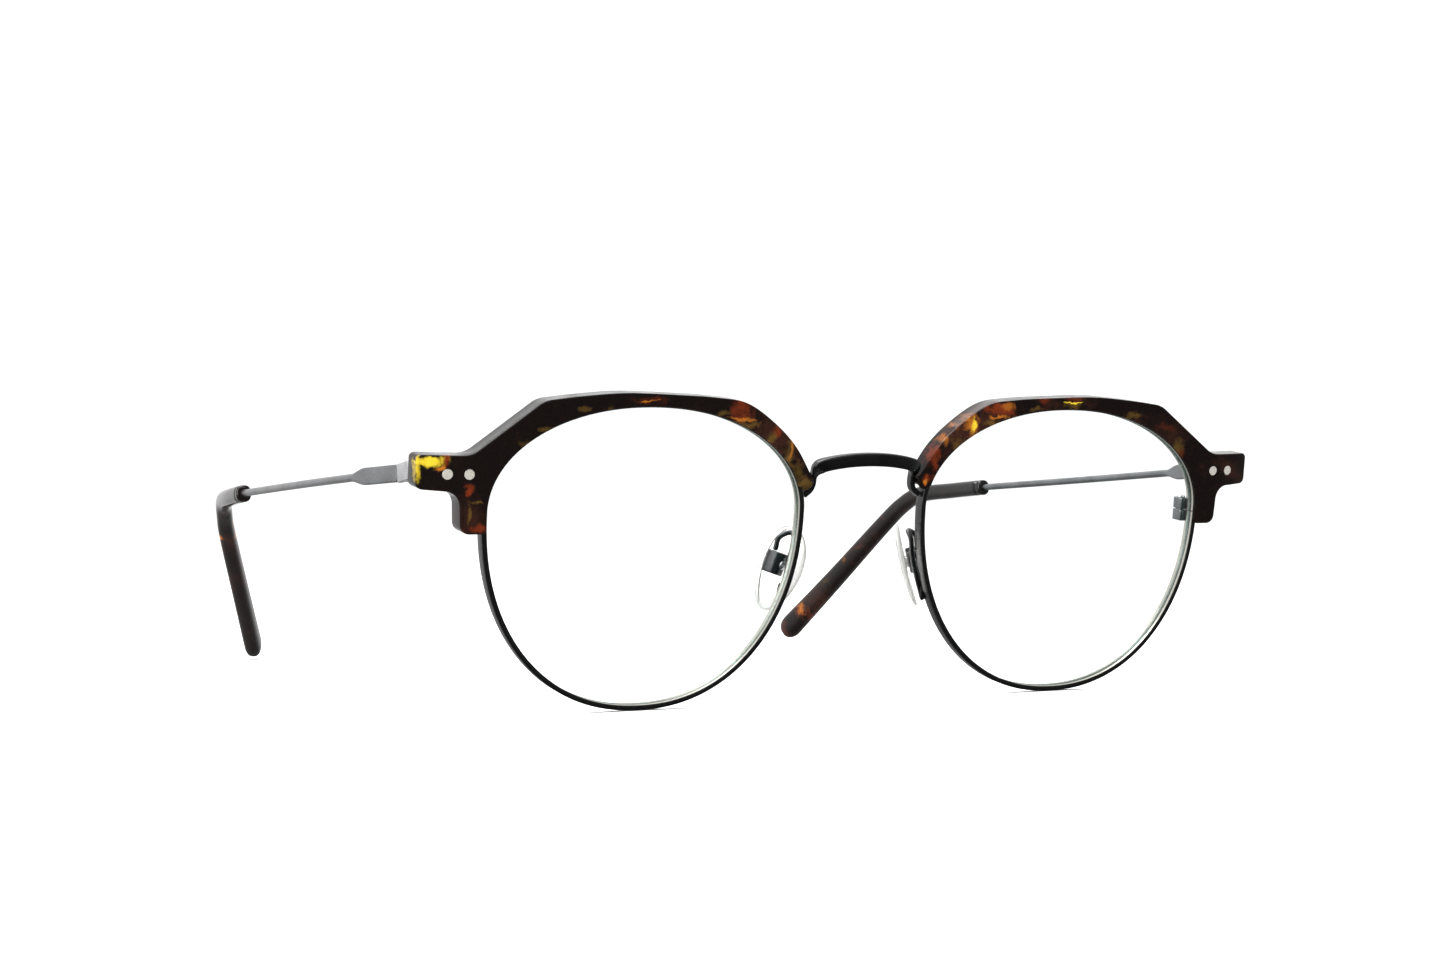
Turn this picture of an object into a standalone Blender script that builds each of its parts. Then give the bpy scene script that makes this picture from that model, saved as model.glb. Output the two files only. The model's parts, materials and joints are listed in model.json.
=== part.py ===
"""Browline eyeglasses: metal eyewires and bridge, acetate brows and temple tips, folding temples.

Front pieces are drawn in the front's own frame: X to the side, Y back from the eyewires' front
face, Z up the front. Temple pieces are drawn in a frame on the hinge pin: X outwards, Y along the
blade, Z along the pin. Every left piece is the mirror image of the right one.
"""

import math

import bmesh
import bpy
from mathutils import Matrix, Vector

MM = 0.001

# Front: lens opening (an oval of two half superellipses that meet on its widest line)
LENS_CENTRE_X = 35.5 * MM
LENS_HALF_WIDTH = 24.7 * MM
LENS_HEIGHT_ABOVE = 15.3 * MM
LENS_HEIGHT_BELOW = 28.5 * MM
LENS_SQUARENESS_ABOVE = 2.07
LENS_SQUARENESS_BELOW = 2.16
FRONT_TILT = math.radians(8.0)
FRONT_PLACE_Y = -63.6 * MM

# Eyewire and lens
WIRE_RADIAL = 0.8 * MM
WIRE_DEPTH = 2.0 * MM
GROOVE_DEPTH = 0.35 * MM
GROOVE_WIDTH = 0.9 * MM
LENS_THICKNESS = 1.2 * MM
LENS_DOME = 2.0 * MM
FIT_GAP = 0.06 * MM

# Brow
BROW_FRONT_PROUD = 0.45 * MM
BROW_THICKNESS = 3.9 * MM
BROW_LIP_INSET = 0.12 * MM
BROW_FRONT_ROUNDING = 0.25 * MM
BROW_REAR_ROUNDING = 0.6 * MM
FRONT_HALF_WIDTH = 70.6 * MM
END_BLOCK_MIDDLE = 35.25 * MM
END_BLOCK_HEIGHT = 4.9 * MM
END_BLOCK_TOP_ROUNDING = 0.8 * MM
END_BLOCK_LOW_ROUNDING = 1.0 * MM
LUG_BOTTOM = 26.5 * MM
LUG_WIDTH = 3.9 * MM
LUG_INNER_ROUNDING = 0.8 * MM
LUG_OUTER_ROUNDING = 1.4 * MM
LUG_SPREAD = 0.3 * MM
ARMPIT_ROUNDING = 2.2 * MM
ARMPIT_DROP = 0.35 * MM
SLANT_FOOT_SET_IN = 1.2 * MM
SLANT_FOOT_ROUNDING = 4.0 * MM
KNEE_ROUNDING = 4.0 * MM
# Past this distance across, the brow curves back towards the temples
CURVE_START = 61.0 * MM
CURVE_RADIUS = 30.0 * MM
# Width of the brow past the lens opening, by the angle round the opening in degrees
BROW_WIDTHS = (
    (53, 4.3 * MM), (66, 3.0 * MM), (81, 2.3 * MM), (98, 2.05 * MM), (112, 2.7 * MM),
    (123, 3.4 * MM), (136, 2.95 * MM), (150, 2.6 * MM), (166, 2.65 * MM),
)

# Rivets through the end block
RIVET_OUTER_X = 66.35 * MM
RIVET_PITCH = 3.1 * MM
RIVET_HEAD_R = 0.85 * MM
RIVET_SHANK_R = 0.5 * MM
RIVET_HEAD_SUNK = 0.5 * MM
RIVET_TAIL = 0.35 * MM
RIVET_DROP = 0.2 * MM

# End strip behind the brow, and hinge
STRIP_THICKNESS = 0.9 * MM
STRIP_HEIGHT = 2.75 * MM
STRIP_SET_IN = 0.2 * MM
STRIP_BEND_R = 1.0 * MM
LEAF_CLEAR = 0.1 * MM
HINGE_OPEN_GAP = 0.05 * MM
BLADE_HEIGHT = 2.55 * MM
HINGE_BACK = 10.1 * MM
KNUCKLE_R = 1.15 * MM
KNUCKLE_HEIGHT = 0.75 * MM
MIDDLE_KNUCKLE_HEIGHT = 0.9 * MM
LEAF_LENGTH = 4.0 * MM
LEAF_THICKNESS = 0.8 * MM
LEAF_SET_OUT = 0.05 * MM
HINGE_GAP = 0.05 * MM
KNUCKLE_ROOM = 0.2 * MM
PIN_R = 0.5 * MM
PIN_HEAD_R = 0.9 * MM
PIN_HEAD_HEIGHT = 0.25 * MM

# Temple
TEMPLE_DROP = math.radians(2.5)
TEMPLE_SPLAY = math.radians(9.0)
BLADE_LENGTH = 10.5 * MM
FLARE_LENGTH = 4.8 * MM
CORE_R = 0.6 * MM
BLADE_GAP = 0.5 * MM
WIRE_BOW_X = 4.7 * MM
TEMPLE_STRAIGHT = 96.0 * MM
TIP_SLEEVE_START = 75.0 * MM
TIP_DROP = 27.55 * MM
TIP_BACK = 33.6 * MM
TIP_INWARD = 14.2 * MM
TIP_HALF_WIDTH = 1.3 * MM
TIP_HALF_HEIGHT = 1.45 * MM
TIP_END_HALF_WIDTH = 1.6 * MM
TIP_END_HALF_HEIGHT = 2.4 * MM
TIP_SOLID_STATIONS = 2

# Bridge
BRIDGE_FOOT_WIDTH = 0.85 * MM
BRIDGE_FOOT_DEPTH = 1.4 * MM
BRIDGE_FOOT_ROOM = 0.12 * MM
BRIDGE_FOOT_LENGTH = 2.6 * MM
BRIDGE_HEIGHT = 2.0 * MM
BRIDGE_DEPTH = 1.7 * MM
BRIDGE_LEVEL = 36.35 * MM
BRIDGE_RISE = 0.8 * MM

# Nose pads
PAD_CENTRE = Vector((10.7 * MM, 5.6 * MM, 19.6 * MM))
PAD_HEIGHT = 13.4 * MM
PAD_WIDTH = 8.2 * MM
PAD_THICKNESS = 1.0 * MM
PAD_BOW = 0.5 * MM
PAD_TILT = math.radians(19.0)
PAD_SPLAY = math.radians(27.0)
PAD_BOX_STANDOFF = 0.3 * MM
PAD_BOX_LIFT = 0.6 * MM
PAD_BOX_HEIGHT = 3.4 * MM
PAD_BOX_WIDTH = 3.0 * MM
PAD_BOX_DEPTH = 2.3 * MM
PAD_STEM_WIDTH = 1.3 * MM
PAD_SCREW_SET_BACK = 1.1 * MM
PAD_ARM_R = 0.4 * MM
# Level and depth of the arm where it lies along the eyewire, then the top of its loop
PAD_ARM_ON_WIRE = ((15.4 * MM, 2.46 * MM), (18.5 * MM, 2.5 * MM), (21.5 * MM, 2.9 * MM))
PAD_ARM_OFFSET = 0.86 * MM
PAD_ARM_LOOP_TOP = Vector((10.1 * MM, 3.7 * MM, 25.4 * MM))
PAD_SCREW_R = 0.4 * MM

# Closing blocks
BLOCK_LEVEL = 28.4 * MM
BLOCK_HEIGHT = 1.75 * MM
BLOCK_WIDTH = 1.5 * MM
BLOCK_DEPTH = 2.4 * MM
BLOCK_SET_IN = 0.15 * MM
BLOCK_SLIT = 0.14 * MM
BLOCK_SCREW_R = 0.4 * MM

RIM_POINTS = 48
PATH_STEPS = 3
PAD_POINTS = 24


# ---------------------------------------------------------------- scene helpers


def clear_scene():
    for thing in list(bpy.data.objects):
        bpy.data.objects.remove(thing, do_unlink=True)


def make_material(name, colour, roughness, metallic, alpha=1.0):
    material = bpy.data.materials.new(name)
    material.use_nodes = True
    shader = material.node_tree.nodes["Principled BSDF"]
    shader.inputs["Base Color"].default_value = (*colour, 1.0)
    shader.inputs["Roughness"].default_value = roughness
    shader.inputs["Metallic"].default_value = metallic
    shader.inputs["Alpha"].default_value = alpha
    return material


def make_empty(name, location, parent=None, turn=None):
    empty = bpy.data.objects.new(name, None)
    empty.empty_display_size = 3 * MM
    bpy.context.scene.collection.objects.link(empty)
    empty.parent = parent
    empty.location = location
    if turn is not None:
        empty.rotation_euler = turn
    return empty


def make_piece(name, mesh_tool, material, parent, side):
    """Turns a bmesh into a named object, mirrored in X on the left side."""
    if side < 0:
        mirror = Matrix.Scale(-1, 4, Vector((1, 0, 0)))
        bmesh.ops.transform(mesh_tool, matrix=mirror, verts=mesh_tool.verts)
        bmesh.ops.reverse_faces(mesh_tool, faces=mesh_tool.faces)
    mesh = bpy.data.meshes.new(name)
    mesh_tool.to_mesh(mesh)
    mesh_tool.free()
    mesh.shade_smooth()
    mesh.set_sharp_from_angle(angle=math.radians(35))
    piece = bpy.data.objects.new(name, mesh)
    piece.parent = parent
    if material is not None:
        mesh.materials.append(material)
    bpy.context.scene.collection.objects.link(piece)
    return piece


def combine(piece, operation, other_name, mesh_tool, side):
    """Joins a hidden shape to the piece, or cuts it away."""
    other = make_piece(other_name, mesh_tool, None, piece.parent, side)
    other.hide_render = True
    other.display_type = "WIRE"
    modifier = piece.modifiers.new(other_name, "BOOLEAN")
    modifier.operation = operation
    modifier.solver = "EXACT"
    modifier.object = other


def cut_away(piece, cutter_name, mesh_tool, side):
    combine(piece, "DIFFERENCE", cutter_name, mesh_tool, side)


def join_on(piece, addition_name, mesh_tool, side):
    combine(piece, "UNION", addition_name, mesh_tool, side)


def side_name(side):
    return "right" if side > 0 else "left"


# ---------------------------------------------------------------- shape helpers


def skin_rings(rings):
    """Joins rings of equally many points into one closed surface, with a face at each end."""
    mesh_tool = bmesh.new()
    rows = [[mesh_tool.verts.new(point) for point in ring] for ring in rings]
    count = len(rows[0])
    for first, second in zip(rows, rows[1:]):
        for i in range(count):
            j = (i + 1) % count
            mesh_tool.faces.new((first[i], first[j], second[j], second[i]))
    mesh_tool.faces.new(rows[0][::-1])
    mesh_tool.faces.new(rows[-1])
    bmesh.ops.recalc_face_normals(mesh_tool, faces=mesh_tool.faces)
    return mesh_tool


def extrude_outline(outline, low, high, axis="Y"):
    """A prism over a flat outline of (first, second) pairs, from low to high along the axis."""
    rings = []
    for level in (low, high):
        if axis == "Y":
            rings.append([Vector((a, level, b)) for a, b in outline])
        else:
            rings.append([Vector((a, b, level)) for a, b in outline])
    return skin_rings(rings)


def box_between(low, high):
    outline = [(low[0], low[1]), (high[0], low[1]), (high[0], high[1]), (low[0], high[1])]
    return extrude_outline(outline, low[2], high[2], axis="Z")


def round_bar(stations, axis="Z", centre=(0, 0, 0), sides=12):
    """A turned bar: stations are (height along the axis, radius)."""
    rings = []
    for height, radius in stations:
        ring = []
        for i in range(sides):
            angle = 2 * math.pi * i / sides
            a = radius * math.cos(angle)
            b = radius * math.sin(angle)
            offset = Vector((a, b, height)) if axis == "Z" else Vector((a, height, b))
            ring.append(Vector(centre) + offset)
        rings.append(ring)
    return skin_rings(rings)


def arc_points(centre, radius, start, end, steps):
    """Points on a circle from one angle to another, both ends included."""
    angles = [start + (end - start) * i / steps for i in range(steps + 1)]
    return [(centre[0] + radius * math.cos(a), centre[1] + radius * math.sin(a)) for a in angles]


def fillet_outline(corners, steps=4):
    """A closed outline whose corners (x, y, radius) are rounded by arcs."""
    outline = []
    count = len(corners)
    for i, (x, y, radius) in enumerate(corners):
        here = Vector((x, y))
        before = (Vector(corners[i - 1][:2]) - here).normalized()
        after = (Vector(corners[(i + 1) % count][:2]) - here).normalized()
        half = before.angle(after) / 2
        if radius == 0 or half > math.radians(89):
            outline.append((x, y))
            continue
        reach = radius / math.tan(half)
        centre = here + (before + after).normalized() * (radius / math.sin(half))
        first = here + before * reach - centre
        turn = first.angle_signed(here + after * reach - centre)
        for step in range(steps + 1):
            spoke = first.copy()
            spoke.rotate(Matrix.Rotation(-turn * step / steps, 2))
            outline.append(tuple(centre + spoke))
    return outline


def smooth_path(points, steps):
    """A Catmull-Rom curve through the points, with the given number of steps in each span."""
    padded = [points[0] * 2 - points[1], *points, points[-1] * 2 - points[-2]]
    path = []
    for a, b, c, d in zip(padded, padded[1:], padded[2:], padded[3:]):
        for step in range(steps):
            t = step / steps
            path.append(
                0.5 * (2 * b + (c - a) * t + (2 * a - 5 * b + 4 * c - d) * t**2
                       + (3 * b - a - 3 * c + d) * t**3)
            )
    path.append(points[-1].copy())
    return path


def rounded_section(half_side, half_up, corner, steps=1):
    """A rectangle with round corners, centred on the path, as (side, up) pairs."""
    section = []
    for sx, sy, start in ((1, 1, 0), (-1, 1, 90), (-1, -1, 180), (1, -1, 270)):
        middle = (sx * (half_side - corner), sy * (half_up - corner))
        first = math.radians(start)
        section += arc_points(middle, corner, first, first + math.pi / 2, steps)
    return section


def sweep(path, section_at, up):
    """A bar along a path; section_at(i) gives its outline at each station."""
    return skin_rings(path_rings(path, section_at, up))


def path_rings(path, section_at, up):
    """The rings of a sweep: section_at(i) gives (side, up) pairs, set square to the path."""
    rings = []
    last = len(path) - 1
    for i, point in enumerate(path):
        along = (path[min(i + 1, last)] - path[max(i - 1, 0)]).normalized()
        across = along.cross(up).normalized()
        upward = across.cross(along)
        rings.append([point + across * a + upward * b for a, b in section_at(i)])
    return rings


# ---------------------------------------------------------------- lens shape


def opening_point(angle, outwards=0.0):
    """A point of the lens opening's edge, moved outwards along the edge's normal."""
    cosine = math.cos(angle)
    sine = math.sin(angle)
    above = sine >= 0
    height = LENS_HEIGHT_ABOVE if above else LENS_HEIGHT_BELOW
    power = 2 / (LENS_SQUARENESS_ABOVE if above else LENS_SQUARENESS_BELOW)
    x = LENS_HALF_WIDTH * math.copysign(abs(cosine) ** power, cosine)
    z = height * math.copysign(abs(sine) ** power, sine)
    exponent = 2 / power
    normal = Vector((
        math.copysign(abs(x / LENS_HALF_WIDTH) ** (exponent - 1), x) / LENS_HALF_WIDTH,
        math.copysign(abs(z / height) ** (exponent - 1), z) / height,
    )).normalized()
    return (LENS_CENTRE_X + x + normal.x * outwards, widest_line() + z + normal.y * outwards)


def widest_line():
    """Height of the opening's widest line, with the eyewire standing on the ground plane."""
    return WIRE_RADIAL + LENS_HEIGHT_BELOW


def opening_angle_at(level, temporal):
    """The angle whose edge point lies at this height, on the temporal or nasal side."""
    height = LENS_HEIGHT_ABOVE if level >= widest_line() else LENS_HEIGHT_BELOW
    squareness = LENS_SQUARENESS_ABOVE if level >= widest_line() else LENS_SQUARENESS_BELOW
    share = (level - widest_line()) / height
    sine = math.copysign(abs(share) ** (squareness / 2), share)
    angle = math.asin(max(-1.0, min(1.0, sine)))
    return angle if temporal else math.pi - angle


def rim_ring(start, end, count, outwards):
    angles = [start + (end - start) * i / count for i in range(count + 1)]
    return [opening_point(angle, outwards) for angle in angles]


# ---------------------------------------------------------------- front pieces


def eyewire_mesh():
    """A grooved wire round the lens, open by a narrow slit at the closing blocks."""
    low = GROOVE_WIDTH / 2
    middle = WIRE_DEPTH / 2
    section = [
        (0, 0), (WIRE_RADIAL, 0), (WIRE_RADIAL, WIRE_DEPTH), (0, WIRE_DEPTH),
        (0, middle + low), (GROOVE_DEPTH, middle), (0, middle - low),
    ]
    start = opening_angle_at(BLOCK_LEVEL + BLOCK_SLIT / 2, True)
    end = opening_angle_at(BLOCK_LEVEL - BLOCK_SLIT / 2, True) + 2 * math.pi
    grid = [2 * math.pi * i / RIM_POINTS for i in range(RIM_POINTS + 1)]
    rings = []
    for angle in [start, *(a for a in grid if start < a < end), end]:
        ring = []
        for outwards, depth in section:
            x, z = opening_point(angle, outwards)
            ring.append(Vector((x, depth, z)))
        rings.append(ring)
    return skin_rings(rings)


def lens_mesh():
    """A domed lens whose edge ridge sits in the eyewire's groove."""
    ridge = GROOVE_DEPTH - FIT_GAP
    middle = WIRE_DEPTH / 2
    ridge_half = (GROOVE_WIDTH / 2) * ridge / GROOVE_DEPTH
    shares = (0.4, 0.75, 0.93)  # of the way from the middle to the edge
    layers = []
    for share in shares:
        layers.append((share, middle - LENS_THICKNESS / 2 - LENS_DOME * (1 - share**2), None))
    layers.append((1, middle - LENS_THICKNESS / 2, -FIT_GAP))
    layers.append((1, middle - ridge_half, -FIT_GAP))
    layers.append((1, middle, ridge))
    layers.append((1, middle + ridge_half, -FIT_GAP))
    layers.append((1, middle + LENS_THICKNESS / 2, -FIT_GAP))
    for share in reversed(shares):
        layers.append((share, middle + LENS_THICKNESS / 2 - LENS_DOME * (1 - share**2), None))
    rings = []
    centre = Vector((LENS_CENTRE_X, widest_line()))
    for share, depth, outwards in layers:
        ring = []
        for i in range(RIM_POINTS):
            x, z = opening_point(2 * math.pi * i / RIM_POINTS, outwards or -FIT_GAP)
            flat = centre + (Vector((x, z)) - centre) * share
            ring.append(Vector((flat.x, depth, flat.y)))
        rings.append(ring)
    return skin_rings(rings)


def brow_end_cap(angle, steps):
    """A half circle that closes the brow's nasal end, from its outer edge to its lens side."""
    outer = Vector(opening_point(angle, BROW_WIDTHS[-1][1]))
    inner = Vector(opening_point(angle, BROW_LIP_INSET))
    spoke = (outer - inner) / 2
    cap = []
    for step in range(1, steps):
        turned = spoke.copy()
        turned.rotate(Matrix.Rotation(math.pi * step / steps, 2))
        cap.append(tuple(inner + spoke + turned))
    return cap


def brow_outline():
    """The acetate brow from the front: along the lens, round the lug and end block, and back."""
    end_low = END_BLOCK_MIDDLE - END_BLOCK_HEIGHT / 2
    end_high = END_BLOCK_MIDDLE + END_BLOCK_HEIGHT / 2
    lug_angle = opening_angle_at(LUG_BOTTOM + 1.5 * LUG_INNER_ROUNDING, True)
    nose_angle = math.radians(BROW_WIDTHS[-1][0])
    inner = rim_ring(nose_angle, lug_angle, 34, BROW_LIP_INSET)
    lug_inner = opening_point(lug_angle, BROW_LIP_INSET)[0]
    lug_outer = lug_inner + LUG_WIDTH
    top = [Vector(opening_point(math.radians(a), width)) for a, width in BROW_WIDTHS]
    top = [tuple(point) for point in smooth_path(top, 3)]
    lug = fillet_outline([
        (lug_inner, LUG_BOTTOM, LUG_INNER_ROUNDING),
        (lug_outer, LUG_BOTTOM, LUG_OUTER_ROUNDING),
        (lug_outer + LUG_SPREAD, end_low - ARMPIT_DROP, ARMPIT_ROUNDING),
        (FRONT_HALF_WIDTH, end_low, END_BLOCK_LOW_ROUNDING),
        (FRONT_HALF_WIDTH, end_high, END_BLOCK_TOP_ROUNDING),
        (lug_outer - SLANT_FOOT_SET_IN, end_high, SLANT_FOOT_ROUNDING),
        (*top[0], KNEE_ROUNDING), (*top[1], 0),
    ], steps=3)
    return inner + lug + top[2:] + brow_end_cap(nose_angle, 4)


def rounded_slab(outline, front, back, front_rounding, back_rounding):
    """A slab over an outline whose front and back edges are rounded by drawing the ends in."""
    count = len(outline)
    inwards = []
    for i in range(count):
        before = Vector(outline[i - 1])
        after = Vector(outline[(i + 1) % count])
        along = (after - before).normalized()
        inwards.append(Vector((along.y, -along.x)))
    area = sum(
        outline[i - 1][0] * outline[i][1] - outline[i][0] * outline[i - 1][1]
        for i in range(count)
    )
    if area > 0:
        inwards = [-way for way in inwards]
    layers = [
        (front, front_rounding), (front + front_rounding, 0.0),
        (back - back_rounding, 0.0), (back, back_rounding),
    ]
    rings = []
    for depth, inset in layers:
        ring = []
        for (x, z), way in zip(outline, inwards):
            ring.append(Vector((x + way.x * inset, depth, z + way.y * inset)))
        rings.append(ring)
    return skin_rings(rings)


def set_back(x, limit=FRONT_HALF_WIDTH):
    """How far back the curve at the front's ends has gone at x; it goes no further past limit."""
    over = max(0.0, min(x, limit) - CURVE_START)
    return over**2 / (2 * CURVE_RADIUS)


def curved_back(mesh_tool, limit=FRONT_HALF_WIDTH, cuts=0):
    """Curves a front piece back near its end, once its faces are cut across into narrow strips."""
    for i in range(cuts):
        x = CURVE_START + (FRONT_HALF_WIDTH - CURVE_START) * i / cuts
        geometry = [*mesh_tool.verts, *mesh_tool.edges, *mesh_tool.faces]
        bmesh.ops.bisect_plane(
            mesh_tool, geom=geometry, dist=1e-7, plane_co=(x, 0, 0), plane_no=(1, 0, 0)
        )
    for vert in mesh_tool.verts:
        vert.co.y += set_back(vert.co.x, limit)
    return mesh_tool


def brow_mesh():
    return rounded_slab(
        brow_outline(), -BROW_FRONT_PROUD, BROW_THICKNESS - BROW_FRONT_PROUD,
        BROW_FRONT_ROUNDING, BROW_REAR_ROUNDING,
    )


def rebate_cutter_mesh():
    """The channel on the lens side of the brow that the eyewire lies in, behind the front lip."""
    angles = [2 * math.pi * i / RIM_POINTS for i in range(RIM_POINTS)]
    outline = [opening_point(angle, WIRE_RADIAL + FIT_GAP) for angle in angles]
    return extrude_outline(outline, -FIT_GAP, BROW_THICKNESS)


def rivet_places():
    return ((RIVET_OUTER_X, "outer"), (RIVET_OUTER_X - RIVET_PITCH, "inner"))


def rivet_level():
    return END_BLOCK_MIDDLE - RIVET_DROP


def strip_front():
    """Depth of the end strip's front face, behind the brow."""
    return BROW_THICKNESS - BROW_FRONT_PROUD + FIT_GAP


def rivet_mesh(x):
    """A flush front head, a shank through brow and strip, and a tail behind the strip."""
    front = -BROW_FRONT_PROUD
    strip_back = strip_front() + STRIP_THICKNESS
    head_back = front + RIVET_HEAD_SUNK
    tail = strip_back + FIT_GAP
    stations = [
        (front, RIVET_HEAD_R - 0.1 * MM), (front + 0.08 * MM, RIVET_HEAD_R),
        (head_back, RIVET_HEAD_R), (head_back + 0.01 * MM, RIVET_SHANK_R),
        (tail - 0.01 * MM, RIVET_SHANK_R), (tail, RIVET_HEAD_R),
        (tail + RIVET_TAIL, RIVET_HEAD_R * 0.8),
    ]
    return round_bar(stations, axis="Y", centre=(x, 0, rivet_level()))


def rivet_bore_mesh(x):
    """The stepped hole for a rivet, a fit gap wider than the rivet all round."""
    front = -BROW_FRONT_PROUD
    back = strip_front() + STRIP_THICKNESS
    head = front + RIVET_HEAD_SUNK + FIT_GAP
    stations = [
        (front - 1 * MM, RIVET_HEAD_R + FIT_GAP), (head, RIVET_HEAD_R + FIT_GAP),
        (head + 0.01 * MM, RIVET_SHANK_R + FIT_GAP), (back + 1 * MM, RIVET_SHANK_R + FIT_GAP),
    ]
    return round_bar(stations, axis="Y", centre=(x, 0, rivet_level()))


def hinge_place():
    """The pin's middle, in the front's frame."""
    strip_middle_x = FRONT_HALF_WIDTH - STRIP_SET_IN - STRIP_THICKNESS / 2
    pin_x = strip_middle_x - STRIP_THICKNESS / 2 - KNUCKLE_R - LEAF_CLEAR
    fall = (HINGE_BACK - strip_front()) * math.tan(FRONT_TILT + TEMPLE_DROP)
    return Vector((pin_x, HINGE_BACK, rivet_level() - fall))


def end_strip_mesh():
    """A metal strip that is riveted behind the end block and turns back to the hinge."""
    pin = hinge_place()
    level = rivet_level()
    middle = strip_front() + STRIP_THICKNESS / 2
    outer = pin.x + KNUCKLE_R + LEAF_CLEAR + STRIP_THICKNESS / 2
    end = pin.y - HINGE_OPEN_GAP - set_back(pin.x + KNUCKLE_R + LEAF_CLEAR)
    back_slope = (level - pin.z) / (end - middle)
    start = RIVET_OUTER_X - RIVET_PITCH - 1.5 * MM
    path = []
    for i in range(5):
        x = start + (outer - STRIP_BEND_R - start) * i / 5
        path.append(Vector((x, middle, level)))
    for i in range(5):
        angle = -math.pi / 2 + math.pi / 2 * i / 4
        x = outer - STRIP_BEND_R + STRIP_BEND_R * math.cos(angle)
        y = middle + STRIP_BEND_R + STRIP_BEND_R * math.sin(angle)
        path.append(Vector((x, y, level - (y - middle) * back_slope)))
    path.append(Vector((outer, end, pin.z)))
    section = rounded_section(STRIP_THICKNESS / 2, STRIP_HEIGHT / 2, 0.2 * MM)
    return sweep(path, lambda i: section, Vector((0, 0, 1)))


def closing_screw_place():
    """Middle of the clasp, behind the eyewire and clear of the brow's rebate."""
    outer_x = opening_point(opening_angle_at(BLOCK_LEVEL, True), WIRE_RADIAL - BLOCK_SET_IN)[0]
    return (outer_x - BLOCK_WIDTH / 2, WIRE_DEPTH + FIT_GAP + BLOCK_DEPTH / 2, BLOCK_LEVEL)


def closing_block_mesh(side_of_slit):
    """Half of the screwed clasp that closes the eyewire, behind it on the temporal side."""
    near = BLOCK_LEVEL + side_of_slit * BLOCK_SLIT / 2
    far = near + side_of_slit * BLOCK_HEIGHT
    middle_x, middle_y, _ = closing_screw_place()
    outline = [
        (middle_x + a, middle_y + b)
        for a, b in rounded_section(BLOCK_WIDTH / 2, BLOCK_DEPTH / 2, 0.35 * MM)
    ]
    return extrude_outline(outline, min(near, far), max(near, far), axis="Z")


def closing_screw_mesh():
    top = BLOCK_SLIT / 2 + BLOCK_HEIGHT
    stations = [
        (-top, BLOCK_SCREW_R), (top + FIT_GAP - 0.01 * MM, BLOCK_SCREW_R),
        (top + FIT_GAP, 0.62 * MM), (top + FIT_GAP + 0.3 * MM, 0.55 * MM),
    ]
    return round_bar(stations, centre=closing_screw_place(), sides=12)


def closing_bore_mesh():
    reach = BLOCK_HEIGHT * 2
    stations = [(-reach, BLOCK_SCREW_R + FIT_GAP), (reach, BLOCK_SCREW_R + FIT_GAP)]
    return round_bar(stations, centre=closing_screw_place(), sides=12)


def bridge_mesh():
    """An arched bar whose ends turn down and back on to the eyewires beside the brows."""
    nose_angle = math.radians(BROW_WIDTHS[-1][0])
    brow_side_x, brow_side_z = opening_point(nose_angle, BROW_WIDTHS[-1][1])
    beside = brow_side_x - BRIDGE_FOOT_WIDTH / 2 - BRIDGE_FOOT_ROOM
    foot_level = brow_side_z - BRIDGE_FOOT_LENGTH
    foot_x = opening_point(opening_angle_at(foot_level, False), WIRE_RADIAL + FIT_GAP)[0]
    half = [
        Vector((foot_x - BRIDGE_FOOT_WIDTH / 2, WIRE_DEPTH * 0.6, foot_level)),
        Vector((beside + 0.35 * MM, WIRE_DEPTH * 0.6, foot_level + 0.8 * MM)),
        Vector((beside, 1.1 * MM, foot_level + 1.7 * MM)),
        Vector((beside - 0.05 * MM, 0.9 * MM, foot_level + 2.9 * MM)),
        Vector((beside - 0.3 * MM, 0.1 * MM, BRIDGE_LEVEL - 0.7 * MM)),
        Vector((beside - 1.3 * MM, -0.7 * MM, BRIDGE_LEVEL)),
        Vector((beside * 0.45, -1.1 * MM, BRIDGE_LEVEL + BRIDGE_RISE * 0.75)),
    ]
    crown = Vector((0, -1.2 * MM, BRIDGE_LEVEL + BRIDGE_RISE))
    mirrored = [Vector((-p.x, p.y, p.z)) for p in half]
    path = smooth_path([*half, crown, *reversed(mirrored)], 2)

    def section_at(i):
        drop = (BRIDGE_LEVEL - path[i].z) / (BRIDGE_LEVEL - foot_level)
        slim = max(0.0, min(1.0, (drop - 0.05) * 3.0))
        half_side = (BRIDGE_HEIGHT * (1 - slim) + BRIDGE_FOOT_WIDTH * slim) / 2
        half_up = (BRIDGE_DEPTH * (1 - slim) + BRIDGE_FOOT_DEPTH * slim) / 2
        return rounded_section(half_side, half_up, 0.3 * MM)

    return sweep(path, section_at, Vector((0, 1, 0)))


# ---------------------------------------------------------------- nose pads


def pad_frame():
    """The pad's own axes: X forwards along its width, Y away from the nose, Z up its length."""
    length = Vector((-math.sin(PAD_TILT), 0, math.cos(PAD_TILT)))
    forwards = Vector((-math.sin(PAD_SPLAY), -math.cos(PAD_SPLAY), 0))
    away = length.cross(forwards).normalized()
    forwards = away.cross(length)
    frame = Matrix((forwards, away, length)).transposed().to_4x4()
    frame.translation = PAD_CENTRE
    return frame


def pad_box_front():
    return PAD_THICKNESS / 2 + PAD_BOX_STANDOFF


def pad_pivot():
    """Where the pad's screw crosses the middle of the stem, in the front's frame."""
    return pad_frame() @ Vector((0, pad_box_front() + PAD_SCREW_SET_BACK, PAD_BOX_LIFT))


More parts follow.
